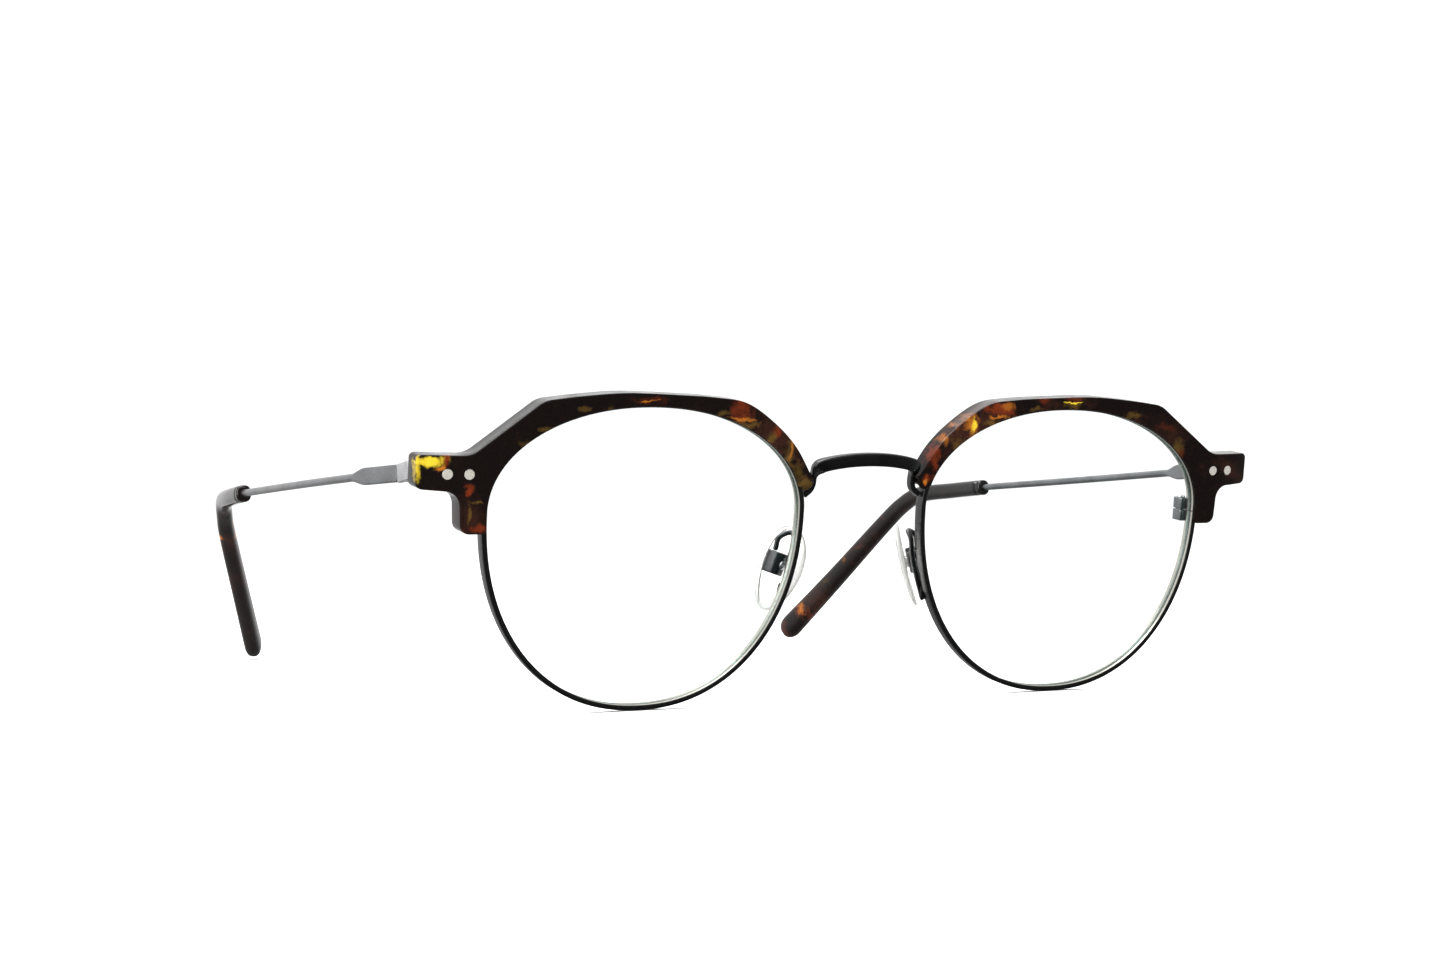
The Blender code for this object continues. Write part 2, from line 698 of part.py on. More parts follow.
def nose_pad_mesh():
    """A thin oval pad that bows towards the nose."""
    rings = []
    for height, share in ((-0.5, 0.88), (-0.2, 1.0), (0.2, 1.0), (0.5, 0.88)):
        ring = []
        for i in range(PAD_POINTS):
            angle = 2 * math.pi * i / PAD_POINTS
            taper = 1 + 0.1 * math.sin(angle)
            x = share * PAD_WIDTH / 2 * math.cos(angle) * taper
            z = share * PAD_HEIGHT / 2 * math.sin(angle)
            bow = PAD_BOW * (z / PAD_HEIGHT * 2) ** 2
            ring.append(Vector((x, height * PAD_THICKNESS + bow, z)))
        rings.append(ring)
    pad = skin_rings(rings)
    bmesh.ops.poke(pad, faces=[face for face in pad.faces if len(face.verts) > 4])
    for vert in pad.verts:
        if len(vert.link_faces) > 20:
            vert.co.y = math.copysign(PAD_THICKNESS / 2, vert.co.y - PAD_BOW / 2)
    return pad


def pad_stem_mesh():
    half = PAD_STEM_WIDTH / 2
    end = pad_box_front() + PAD_SCREW_SET_BACK + 0.55 * MM
    return box_between(
        (-half, 0, PAD_BOX_LIFT - 0.8 * MM), (half, end, PAD_BOX_LIFT + 0.8 * MM)
    )


def pad_box_mesh():
    """A small block behind the pad; its slot and bore are cut afterwards."""
    half = PAD_BOX_HEIGHT / 2
    front = pad_box_front()
    outline = fillet_outline([
        (front, PAD_BOX_LIFT - half, 0.5 * MM),
        (front + PAD_BOX_DEPTH, PAD_BOX_LIFT - half, 0.5 * MM),
        (front + PAD_BOX_DEPTH, PAD_BOX_LIFT + half, 0.5 * MM),
        (front, PAD_BOX_LIFT + half, 0.5 * MM),
    ], steps=3)
    rings = []
    for x in (-PAD_BOX_WIDTH / 2, PAD_BOX_WIDTH / 2):
        rings.append([Vector((x, y, z)) for y, z in outline])
    return skin_rings(rings)


def pad_slot_mesh():
    """The slot that the stem rocks in, open towards the nose, above and below."""
    half = PAD_STEM_WIDTH / 2 + FIT_GAP
    front = pad_box_front()
    deep = front + PAD_SCREW_SET_BACK + 0.75 * MM
    reach = PAD_BOX_HEIGHT
    return box_between((-half, front - 1 * MM, -reach), (half, deep, reach + PAD_BOX_LIFT))


def pad_bar_mesh(stations, sides=12):
    """A bar along the pad screw, in the pad's own axes."""
    bar = round_bar(stations, sides=sides)
    lie_down = Matrix.Rotation(math.pi / 2, 4, "Y")
    place = Matrix.Translation((0, pad_box_front() + PAD_SCREW_SET_BACK, PAD_BOX_LIFT))
    bmesh.ops.transform(bar, matrix=place @ lie_down, verts=bar.verts)
    return bar


def pad_screw_mesh():
    half = PAD_BOX_WIDTH / 2
    return pad_bar_mesh([
        (-half, PAD_SCREW_R), (half + FIT_GAP - 0.01 * MM, PAD_SCREW_R),
        (half + FIT_GAP, 0.65 * MM), (half + FIT_GAP + 0.3 * MM, 0.55 * MM),
    ])


def pad_bore_mesh():
    reach = PAD_BOX_WIDTH
    return pad_bar_mesh([(-reach, PAD_SCREW_R + FIT_GAP), (reach, PAD_SCREW_R + FIT_GAP)])


def pad_arm_mesh():
    """A bent wire from the back of the eyewire, over a loop, down to the top of the box."""
    path = []
    for level, depth in PAD_ARM_ON_WIRE:
        x, z = opening_point(opening_angle_at(level, False), PAD_ARM_OFFSET)
        path.append(Vector((x, depth, z)))
    box_top = pad_frame() @ Vector((
        0,
        pad_box_front() + PAD_BOX_DEPTH - PAD_ARM_R,
        PAD_BOX_LIFT + PAD_BOX_HEIGHT / 2 + FIT_GAP,
    ))
    path.append(PAD_ARM_LOOP_TOP + Vector((0, -1.0 * MM, -1.2 * MM)))
    path.append(PAD_ARM_LOOP_TOP)
    path.append(box_top + Vector((-0.5 * MM, -0.1 * MM, 2.0 * MM)))
    path.append(box_top + Vector((0, 0, 0.45 * MM)))
    path = smooth_path(path, 2)
    section = arc_points((0, 0), PAD_ARM_R, 0, 2 * math.pi * 7 / 8, 7)
    return sweep(path, lambda i: section, Vector((1, 0, 0)))


# ---------------------------------------------------------------- hinge and temple


def stack_half():
    return MIDDLE_KNUCKLE_HEIGHT / 2 + HINGE_GAP + KNUCKLE_HEIGHT


def front_leaf_mesh():
    half = stack_half()
    return extrude_outline(knuckle_outline(-1), -half, half, axis="Z")


def temple_leaf_mesh():
    half = BLADE_HEIGHT / 2 - 0.1 * MM
    return extrude_outline(knuckle_outline(1), -half, half, axis="Z")


def knuckle_outline(direction):
    """Plan of a knuckle and its leaf; direction is -1 for the front leaf and 1 for the temple's."""
    outer = KNUCKLE_R + LEAF_SET_OUT
    inner = outer - LEAF_THICKNESS
    end = direction * LEAF_LENGTH
    meet = direction * math.sqrt(KNUCKLE_R**2 - inner**2)
    turn = math.atan2(meet, inner) - direction * 2 * math.pi
    arc = arc_points((0, 0), KNUCKLE_R, 0, turn, 10)
    return [(outer, end), (outer, 0), *arc, (inner, end)]


def front_slot_mesh():
    """Room for the temple's middle knuckle between the front's two."""
    half = MIDDLE_KNUCKLE_HEIGHT / 2 + HINGE_GAP
    reach = 3 * KNUCKLE_R
    return box_between((-reach, -KNUCKLE_R - KNUCKLE_ROOM, -half), (reach, reach, half))


def temple_notch_mesh(direction):
    """Room for one of the front's knuckles above or below the temple's middle one."""
    near = direction * MIDDLE_KNUCKLE_HEIGHT / 2
    far = direction * 3 * MM
    reach = 3 * KNUCKLE_R
    return box_between(
        (-reach, -reach, min(near, far)), (reach, KNUCKLE_R + KNUCKLE_ROOM, max(near, far))
    )


def hinge_bore_mesh():
    return round_bar([(-3 * MM, PIN_R + FIT_GAP), (3 * MM, PIN_R + FIT_GAP)])


def hinge_screw_mesh():
    half = stack_half()
    return round_bar([
        (-half - 0.15 * MM, PIN_R * 0.8), (-half, PIN_R), (half + FIT_GAP - 0.01 * MM, PIN_R),
        (half + FIT_GAP, PIN_HEAD_R), (half + FIT_GAP + PIN_HEAD_HEIGHT, PIN_HEAD_R * 0.85),
    ])


def blade_middle():
    return KNUCKLE_R + LEAF_SET_OUT + FIT_GAP + STRIP_THICKNESS / 2


def temple_path():
    """The middle of the blade, wire and core, from the hinge gap to near the tip's end."""
    turn = Matrix.Rotation(-TEMPLE_SPLAY, 3, "Z")
    straight = [turn @ Vector((blade_middle(), y, 0)) for y in (
        BLADE_GAP, BLADE_LENGTH * 0.5, BLADE_LENGTH, BLADE_LENGTH + FLARE_LENGTH * 0.5,
        BLADE_LENGTH + FLARE_LENGTH,
    )]
    wire = [
        Vector((WIRE_BOW_X, TEMPLE_STRAIGHT * 0.36, 0)),
        Vector((WIRE_BOW_X, TEMPLE_STRAIGHT * 0.56, 0)),
    ]
    return straight + smooth_path([straight[-1], *wire, *tip_path_points()], PATH_STEPS)[1:]


def tip_path_points():
    """The sleeve's route: on along the wire, over the ear bend, then down, back and inwards."""
    start = Vector((WIRE_BOW_X - 0.6 * MM, TIP_SLEEVE_START, 0))
    bend = Vector((WIRE_BOW_X - 2.7 * MM, TEMPLE_STRAIGHT, -0.6 * MM))
    points = [start, start.lerp(bend, 0.5) + Vector((0.35 * MM, 0, 0.1 * MM)), bend]
    for back, inward, drop in ((0.15, 0.09, 0.07), (0.3, 0.22, 0.21), (0.64, 0.6, 0.6), (1, 1, 1)):
        points.append(bend + Vector((-TIP_INWARD * inward, TIP_BACK * back, -TIP_DROP * drop)))
    return points


def tip_route():
    return smooth_path(tip_path_points(), PATH_STEPS)


def temple_mesh():
    path = temple_path()
    core_end = len(path) - TIP_SOLID_STATIONS
    path = path[:core_end]
    blade_stations = 3
    wire_section = rounded_section(CORE_R, CORE_R, CORE_R * 0.999)
    blade_section = rounded_section(STRIP_THICKNESS / 2, BLADE_HEIGHT / 2, 0.2 * MM)

    def section_at(i):
        if i < blade_stations:
            return blade_section
        if i == blade_stations:
            return [
                (0.5 * (a + c), 0.35 * b + 0.65 * d)
                for (a, b), (c, d) in zip(blade_section, wire_section)
            ]
        return wire_section

    return sweep(path, section_at, Vector((0, 0, 1)))


def temple_tip_mesh():
    """An oval sleeve over the wire, thicker towards its rounded end, with a blind bore."""
    path = tip_route()
    last = len(path) - 1
    bore_last = last - TIP_SOLID_STATIONS + 1

    def size_at(i):
        share = i / last
        wide = TIP_HALF_WIDTH + (TIP_END_HALF_WIDTH - TIP_HALF_WIDTH) * share
        high = TIP_HALF_HEIGHT + (TIP_END_HALF_HEIGHT - TIP_HALF_HEIGHT) * share**2
        if i == last:
            return wide * 0.55, high * 0.6
        return wide, high

    def outer_at(i):
        wide, high = size_at(i)
        return [
            (wide * math.cos(2 * math.pi * k / 12), high * math.sin(2 * math.pi * k / 12))
            for k in range(12)
        ]

    def inner_at(i):
        radius = (CORE_R + FIT_GAP) / math.cos(math.pi / 12)
        return arc_points((0, 0), radius, 0, 2 * math.pi * 11 / 12, 11)

    up = Vector((0, 0, 1))
    outer = path_rings(path, outer_at, up)
    inner = path_rings(path, inner_at, up)[: bore_last + 1]
    return skin_rings([*reversed(inner), *outer])


# ---------------------------------------------------------------- assembly


def make_materials():
    return {
        "black_metal": make_material("black_metal", (0.03, 0.03, 0.035), 0.35, 1.0),
        "gunmetal": make_material("gunmetal", (0.2, 0.21, 0.23), 0.35, 1.0),
        "silver": make_material("silver", (0.75, 0.74, 0.7), 0.3, 1.0),
        "acetate": make_material("acetate", (0.06, 0.02, 0.01), 0.12, 0.0),
        "lens": make_material("lens", (0.9, 0.95, 0.95), 0.02, 0.0, alpha=0.3),
        "pad": make_material("pad", (0.85, 0.85, 0.8), 0.1, 0.0, alpha=0.5),
    }


def move_mesh(mesh_tool, matrix):
    bmesh.ops.transform(mesh_tool, matrix=matrix, verts=mesh_tool.verts)
    return mesh_tool


def build_rim(front, finish, side):
    name = side_name(side)
    make_piece(f"eyewire_{name}", eyewire_mesh(), finish["black_metal"], front, side)
    make_piece(f"lens_{name}", lens_mesh(), finish["lens"], front, side)
    for level, way in (("upper", 1), ("lower", -1)):
        block = make_piece(
            f"closing_block_{level}_{name}", closing_block_mesh(way), finish["gunmetal"], front, side
        )
        cut_away(block, f"closing_bore_{level}_{name}", closing_bore_mesh(), side)
    make_piece(f"closing_screw_{name}", closing_screw_mesh(), finish["gunmetal"], front, side)


def build_brow(front, finish, side):
    name = side_name(side)
    brow = make_piece(f"brow_{name}", curved_back(brow_mesh(), cuts=6), finish["acetate"], front, side)
    cut_away(brow, f"rebate_{name}", rebate_cutter_mesh(), side)
    strip_limit = hinge_place().x + KNUCKLE_R + LEAF_CLEAR
    strip_mesh = curved_back(end_strip_mesh(), strip_limit)
    strip = make_piece(f"end_strip_{name}", strip_mesh, finish["gunmetal"], front, side)
    for x, place in rivet_places():
        cut_away(brow, f"brow_bore_{place}_{name}", curved_back(rivet_bore_mesh(x)), side)
        cut_away(strip, f"strip_bore_{place}_{name}", curved_back(rivet_bore_mesh(x)), side)
        rivet = curved_back(rivet_mesh(x))
        make_piece(f"rivet_{place}_{name}", rivet, finish["silver"], front, side)


def build_pad(front, finish, side):
    name = side_name(side)
    frame = pad_frame()
    box = make_piece(
        f"pad_box_{name}", move_mesh(pad_box_mesh(), frame), finish["gunmetal"], front, side
    )
    cut_away(box, f"pad_slot_{name}", move_mesh(pad_slot_mesh(), frame), side)
    cut_away(box, f"pad_box_bore_{name}", move_mesh(pad_bore_mesh(), frame), side)
    make_piece(f"pad_arm_{name}", pad_arm_mesh(), finish["gunmetal"], front, side)
    make_piece(
        f"pad_screw_{name}", move_mesh(pad_screw_mesh(), frame), finish["silver"], front, side
    )
    pivot = pad_pivot()
    rocker = make_empty(f"pad_rocker_{name}", (side * pivot.x, pivot.y, pivot.z), front)
    to_pivot = Matrix.Translation(-pivot) @ frame
    pad = make_piece(
        f"nose_pad_{name}", move_mesh(nose_pad_mesh(), to_pivot), finish["pad"], rocker, side
    )
    join_on(pad, f"pad_stem_{name}", move_mesh(pad_stem_mesh(), to_pivot), side)
    cut_away(pad, f"pad_stem_bore_{name}", move_mesh(pad_bore_mesh(), to_pivot), side)


def build_temple(front, finish, side):
    name = side_name(side)
    place = hinge_place()
    turn = (-FRONT_TILT - TEMPLE_DROP, 0, 0)
    where = (side * place.x, place.y, place.z)
    line = make_empty(f"hinge_line_{name}", where, front, turn)
    leaf = make_piece(f"hinge_front_{name}", front_leaf_mesh(), finish["gunmetal"], line, side)
    cut_away(leaf, f"hinge_slot_{name}", front_slot_mesh(), side)
    cut_away(leaf, f"hinge_front_bore_{name}", hinge_bore_mesh(), side)
    make_piece(f"hinge_screw_{name}", hinge_screw_mesh(), finish["silver"], line, side)

    fold = make_empty(f"temple_fold_{name}", where, front, turn)
    splay = Matrix.Rotation(-TEMPLE_SPLAY, 4, "Z")
    middle = make_piece(
        f"hinge_temple_{name}", move_mesh(temple_leaf_mesh(), splay), finish["gunmetal"], fold, side
    )
    for way, which in ((1, "upper"), (-1, "lower")):
        notch = move_mesh(temple_notch_mesh(way), splay)
        cut_away(middle, f"hinge_notch_{which}_{name}", notch, side)
    cut_away(middle, f"hinge_temple_bore_{name}", hinge_bore_mesh(), side)
    make_piece(f"temple_{name}", temple_mesh(), finish["gunmetal"], fold, side)
    make_piece(f"temple_tip_{name}", temple_tip_mesh(), finish["acetate"], fold, side)


def main():
    clear_scene()
    finish = make_materials()
    front = make_empty("front_frame", (0, FRONT_PLACE_Y, 0), turn=(FRONT_TILT, 0, 0))
    make_piece("bridge", bridge_mesh(), finish["black_metal"], front, side=1)
    for side in (1, -1):
        build_rim(front, finish, side)
        build_brow(front, finish, side)
        build_pad(front, finish, side)
        build_temple(front, finish, side)


if __name__ == "__main__":
    main()
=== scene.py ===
"""Browline eyeglasses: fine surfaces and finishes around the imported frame.

Lengths are in millimetres until a mesh is made. Front pieces are drawn in the front's own axes:
across, back from the eyewires' front face, and up the front, which leans back. Temple pieces are
drawn on the hinge pin: outwards, along the blade, and up the pin. Pad pieces are drawn on the
pad: forwards along its width, away from the nose, and up its length.
"""

import json
import math

import bmesh
import bpy
import numpy as np
from bpy.props import FloatProperty, FloatVectorProperty, PointerProperty
from mathutils import Matrix, Vector


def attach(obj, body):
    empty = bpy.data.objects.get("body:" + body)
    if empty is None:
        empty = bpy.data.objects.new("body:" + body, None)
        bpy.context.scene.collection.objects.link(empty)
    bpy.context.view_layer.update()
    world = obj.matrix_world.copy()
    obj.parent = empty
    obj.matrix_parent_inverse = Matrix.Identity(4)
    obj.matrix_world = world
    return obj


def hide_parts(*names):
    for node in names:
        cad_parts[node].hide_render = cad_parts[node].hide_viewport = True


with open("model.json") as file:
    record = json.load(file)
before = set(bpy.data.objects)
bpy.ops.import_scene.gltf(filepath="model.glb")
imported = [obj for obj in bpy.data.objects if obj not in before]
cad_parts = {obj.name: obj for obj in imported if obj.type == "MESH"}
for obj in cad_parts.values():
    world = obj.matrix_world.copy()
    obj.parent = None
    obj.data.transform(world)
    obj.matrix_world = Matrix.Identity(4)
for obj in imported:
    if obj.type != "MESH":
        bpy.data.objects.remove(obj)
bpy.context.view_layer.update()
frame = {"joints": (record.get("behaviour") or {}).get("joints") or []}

bl_info = {
    "name": "Browline Eyeglasses",
    "version": (1, 0, 0),
    "blender": (4, 5, 0),
    "location": "3D View > Sidebar > Eyeglasses",
    "description": "Builds browline eyeglasses: rims, brows, lenses, hinges, temples and pads",
    "category": "Add Mesh",
}

MM = 0.001
JOINTS = {joint["name"]: joint for joint in frame["joints"]}

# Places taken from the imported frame
HINGE_PIN = np.array(JOINTS["temple_fold_right"]["pos_m"]) / MM
PIN_AXIS = np.array(JOINTS["temple_fold_right"]["axis"])
TEMPLE_DROP = math.atan2(PIN_AXIS[1], PIN_AXIS[2])
FRONT_LEAN = math.radians(8.0)
FRONT_Y = -63.6

# Lens opening: two half superellipses that meet on its widest line
LENS_CENTRE_X = 35.5
LENS_HALF_WIDTH = 24.7
LENS_ABOVE = 15.3
LENS_BELOW = 28.5
SQUARENESS_ABOVE = 2.07
SQUARENESS_BELOW = 2.16
WIRE_RADIAL = 0.8
WIRE_DEPTH = 2.0
WIDEST_LINE = WIRE_RADIAL + LENS_BELOW
GROOVE_DEPTH = 0.35
GROOVE_WIDTH = 0.9
LENS_THICKNESS = 1.2
LENS_DOME = 2.0
LENS_COAT = (0.35, 0.72, 0.75, 1.0)
SLANT_MIRROR = 0.6
FIT_GAP = 0.06

# Brow
BROW_FRONT = -0.45
BROW_BACK = 3.45
LIP_INSET = 0.12
FRONT_HALF_WIDTH = 70.6
END_MIDDLE = 35.25
END_HEIGHT = 4.9
LUG_BOTTOM = 26.5
LUG_WIDTH = 3.9
LUG_CORNER = 0.8
CURVE_START = 61.0
CURVE_RADIUS = 30.0
# Width of the brow past the lens opening, by the angle round the opening in degrees
BROW_WIDTHS = (
    (53, 4.3), (66, 3.0), (81, 2.3), (98, 2.05), (112, 2.7), (123, 3.4), (136, 2.95), (150, 2.6),
    (166, 2.65),
)
NOSE_ANGLE = math.radians(BROW_WIDTHS[-1][0])

# Rivets, end strip and hinge
RIVET_X = {"outer": 66.35, "inner": 63.25}
RIVET_LEVEL = 35.05
RIVET_HEAD_R = 0.74
RIVET_PROUD = 0.07
RIVET_SHANK_R = 0.5
RIVET_SHANK_TOP = 0.5
RIVET_TAIL = 0.35
STRIP_THICKNESS = 0.9
STRIP_HEIGHT = 2.75
STRIP_FRONT = BROW_BACK + FIT_GAP
STRIP_BEND_R = 1.0
HINGE_BACK = 10.1
KNUCKLE_R = 1.15
KNUCKLE_HEIGHT = 0.75
MIDDLE_KNUCKLE_HALF = 0.45
HINGE_GAP = 0.05
LEAF_LENGTH = 4.0
LEAF_THICKNESS = 0.8
LEAF_OUTER = KNUCKLE_R + 0.05
LEAF_ROUNDING = 0.08
PIN_R = 0.5
# Screw heads: height, radius, slot width and slot depth
PIN_HEAD = (0.25, 0.9, 0.22, 0.2)
CLASP_HEAD = (0.3, 0.62, 0.18, 0.16)
PAD_HEAD = (0.3, 0.65, 0.2, 0.16)
SCREW_R = 0.4
AXIS_R = 0.02

# Temple and tip
TEMPLE_SPLAY = math.radians(9.0)
BLADE_MIDDLE_X = LEAF_OUTER + FIT_GAP + STRIP_THICKNESS / 2
BLADE_START = 0.5
BLADE_LENGTH = 10.5
BLADE_HEIGHT = 2.55
FLARE_LENGTH = 4.8
WIRE_R = 0.6
WIRE_BOW_X = 4.7
TEMPLE_STRAIGHT = 96.0
TIP_START = 75.0
TIP_BACK = 33.6
TIP_INWARD = 14.2
TIP_DROP = 27.55
TIP_HALF = np.array((1.3, 1.45))
TIP_END_HALF = np.array((1.6, 2.4))

# Bridge
BRIDGE_FOOT = np.array((0.85, 1.4))
BRIDGE_BAR = np.array((2.0, 1.7))
BRIDGE_LEVEL = 36.35
BRIDGE_RISE = 0.8
BRIDGE_FOOT_LENGTH = 2.6

# Nose pads
PAD_CENTRE = np.array((10.7, 5.6, 19.6))
PAD_HEIGHT = 13.4
PAD_WIDTH = 8.2
PAD_THICKNESS = 1.0
PAD_BOW = 0.5
PAD_TILT = math.radians(19.0)
PAD_SPLAY = math.radians(27.0)
PAD_BOX_FRONT = 0.8
PAD_BOX_DEPTH = 2.3
PAD_BOX_LIFT = 0.6
PAD_BOX_HEIGHT = 3.4
PAD_BOX_WIDTH = 3.0
PAD_SLOT_HALF = 0.71
PAD_STEM_HALF = 0.65
PAD_SCREW_BACK = PAD_BOX_FRONT + 1.1
PAD_ARM_R = 0.4
PAD_ARM_OFFSET = 0.86
PAD_ARM_ON_WIRE = ((15.4, 2.46), (18.5, 2.5), (21.5, 2.9))
PAD_ARM_LOOP_TOP = np.array((10.1, 3.7, 25.4))
SOLDER_LEVEL = 16.6
SOLDER_BACK = 2.15
SOLDER_HALF = (0.42, 0.4, 1.7)

# Clasp that closes the eyewire
CLASP_LEVEL = 28.4
CLASP_HEIGHT = 1.75
CLASP_WIDTH = 1.5
CLASP_DEPTH = 2.4
CLASP_SLIT = 0.14

# Stage, in metres: each light is its name, place, size and share of the key light's power
FLOOR_REACH = 3.0
FLOOR_DROP = 0.00002
LIGHT_TARGET = (0.0, -0.03, 0.03)
LIGHTS = (
    ("key_above", (-0.15, 0.1, 0.6), (0.7, 0.5), 1.0),
    ("edge_light", (-0.25, -0.5, 0.55), (0.9, 0.06), 0.15),
    ("fill_left", (-0.7, -0.1, 0.25), (0.3, 0.5), 0.4),
)
CAMERA_PLACE = (-0.18776, -0.41212, 0.03497)
CAMERA_TURN = math.radians(25.491)
CAMERA_DIP = math.radians(0.228)
CAMERA_ROLL = math.radians(-0.278)
CAMERA_LENS = 64.78


# ---------------------------------------------------------------- axes


def from_front(points):
    """Front axes to the room: turned back about X by the lean, then set back along Y."""
    x, y, z = np.moveaxis(np.asarray(points, float), -1, 0)
    cosine, sine = math.cos(FRONT_LEAN), math.sin(FRONT_LEAN)
    return np.stack([x, FRONT_Y + y * cosine - z * sine, y * sine + z * cosine], axis=-1)


def from_hinge(points):
    """Hinge axes to the room: dropped about X by the temple's slope, then moved to the pin."""
    x, y, z = np.moveaxis(np.asarray(points, float), -1, 0)
    cosine, sine = math.cos(TEMPLE_DROP), math.sin(TEMPLE_DROP)
    return HINGE_PIN + np.stack([x, y * cosine + z * sine, z * cosine - y * sine], axis=-1)


def splayed(points):
    """Turned about the pin so that the temple leans outwards."""
    x, y, z = np.moveaxis(np.asarray(points, float), -1, 0)
    cosine, sine = math.cos(TEMPLE_SPLAY), math.sin(TEMPLE_SPLAY)
    return np.stack([x * cosine + y * sine, y * cosine - x * sine, z], axis=-1)


def pad_axes():
    """Rows: forwards along the pad's width, away from the nose, and up the pad's length."""
    length = np.array((-math.sin(PAD_TILT), 0, math.cos(PAD_TILT)))
    forwards = np.array((-math.sin(PAD_SPLAY), -math.cos(PAD_SPLAY), 0))
    away = np.cross(length, forwards)
    away /= np.linalg.norm(away)
    return np.array((np.cross(away, length), away, length))


def from_pad(points):
    """Pad axes to the room: along the pad's three axes from its centre, then as the front."""
    return from_front(PAD_CENTRE + np.asarray(points, float) @ pad_axes())


# ---------------------------------------------------------------- lines and outlines


def signed_power(value, power):
    """sign(value) |value|^power."""
    return np.sign(value) * np.abs(value) ** power


def full_turn(steps):
    """Angles once round in equal steps."""
    return 2 * math.pi * np.arange(steps) / steps


def with_depth(flat, depth):
    """Points (across, up) as (across, depth, up)."""
    return np.stack([flat[..., 0], np.broadcast_to(depth, flat.shape[:-1]), flat[..., 1]], axis=-1)


def lens_edge(angle, outwards=0.0):
    """The lens opening, as (across, up).

    across = a sign(cos) |cos|^(2/n) and up = b sign(sin) |sin|^(2/n), where b and n change at
    the widest line. The point then moves outwards along the gradient of |x/a|^n + |z/b|^n.
    """
    angle = np.asarray(angle, float)
    cosine, sine = np.cos(angle), np.sin(angle)
    height = np.where(sine >= 0, LENS_ABOVE, LENS_BELOW)
    squareness = np.where(sine >= 0, SQUARENESS_ABOVE, SQUARENESS_BELOW)
    x = LENS_HALF_WIDTH * signed_power(cosine, 2 / squareness)
    z = height * signed_power(sine, 2 / squareness)
    gx = signed_power(x / LENS_HALF_WIDTH, squareness - 1) / LENS_HALF_WIDTH
    gz = signed_power(z / height, squareness - 1) / height
    steep = np.hypot(gx, gz)
    return np.stack(
        [LENS_CENTRE_X + x + gx / steep * outwards, WIDEST_LINE + z + gz / steep * outwards],
        axis=-1,
    )


def edge_angle(level, temporal=True):
    """The angle whose edge point lies at this height: sin = sign(t) |t|^(n/2), t = height share."""
    above = level >= WIDEST_LINE
    share = (level - WIDEST_LINE) / (LENS_ABOVE if above else LENS_BELOW)
    squareness = SQUARENESS_ABOVE if above else SQUARENESS_BELOW
    angle = math.asin(math.copysign(abs(share) ** (squareness / 2), share))
    return angle if temporal else math.pi - angle


def smooth_line(points, steps):
    """A Catmull-Rom curve: each span is a cubic whose end slopes come from its neighbours."""
    points = np.asarray(points, float)
    before = 2 * points[0] - points[1]
    after = 2 * points[-1] - points[-2]
    padded = np.vstack([before, points, after])
    t = np.linspace(0, 1, steps, endpoint=False)[None, :, None]
    a, b, c, d = (padded[i : len(padded) - 3 + i][:, None, :] for i in range(4))
    spans = 0.5 * (
        2 * b + (c - a) * t + (2 * a - 5 * b + 4 * c - d) * t**2 + (3 * b - a - 3 * c + d) * t**3
    )
    return np.vstack([spans.reshape(-1, points.shape[1]), points[-1:]])


def rounded_corners(corners, steps=6):
    """A closed outline of (first, second, radius) corners, each replaced by an arc.

    The arc's centre lies on the corner's bisector at radius / sin(half angle), and its ends lie
    at radius / tan(half angle) from the corner.
    """
    outline = []
    for i, (x, y, radius) in enumerate(corners):
        here = np.array((x, y))
        before = np.array(corners[i - 1][:2]) - here
        after = np.array(corners[(i + 1) % len(corners)][:2]) - here
        before = before / np.linalg.norm(before)
        after = after / np.linalg.norm(after)
        half = math.acos(np.clip(before @ after, -1, 1)) / 2
        if radius == 0 or half > math.radians(89):
            outline.append(here[None])
            continue
        bisector = (before + after) / np.linalg.norm(before + after)
        centre = here + bisector * radius / math.sin(half)
        start = here + before * radius / math.tan(half) - centre
        end = here + after * radius / math.tan(half) - centre
        first = math.atan2(start[1], start[0])
        turn = math.atan2(start[0] * end[1] - start[1] * end[0], start @ end)
        angles = first + turn * np.linspace(0, 1, steps + 1)
        outline.append(centre + radius * np.stack([np.cos(angles), np.sin(angles)], axis=-1))
    return np.vstack(outline)


def rounded_section(half_side, half_up, corner, steps=4):
    """A rectangle with round corners, its middle at zero."""
    signs = ((1, 1), (-1, 1), (-1, -1), (1, -1))
    return rounded_corners([(a * half_side, b * half_up, corner) for a, b in signs], steps)


def round_section(radius, sides, squareness=2.0):
    """A superellipse: radius sign(cos) |cos|^(2/n) sideways and the same of the sine upwards."""
    angle = full_turn(sides)
    circle = np.stack([np.cos(angle), np.sin(angle)], axis=-1)
    return signed_power(circle, 2 / squareness) * radius


def drawn_in(outline, inset):
    """The outline moved inwards along its normals, which are the turned central differences."""
    along = np.roll(outline, -1, axis=0) - np.roll(outline, 1, axis=0)
    along /= np.linalg.norm(along, axis=1, keepdims=True)
    inwards = np.stack([-along[:, 1], along[:, 0]], axis=-1)
    following = np.roll(outline, -1, axis=0)
    area = np.sum(outline[:, 0] * following[:, 1] - following[:, 0] * outline[:, 1])
    return outline + inwards * inset * math.copysign(1, area)


def curved_back(points, limit=FRONT_HALF_WIDTH):
    """Ends curve back: depth grows by (x - start)^2 / (2 R) past the eyewires, up to the limit."""
    points = np.array(points, float)
    over = np.clip(np.minimum(points[..., 0], limit) - CURVE_START, 0, None)
    points[..., 1] += over**2 / (2 * CURVE_RADIUS)
    return points


# ---------------------------------------------------------------- surfaces


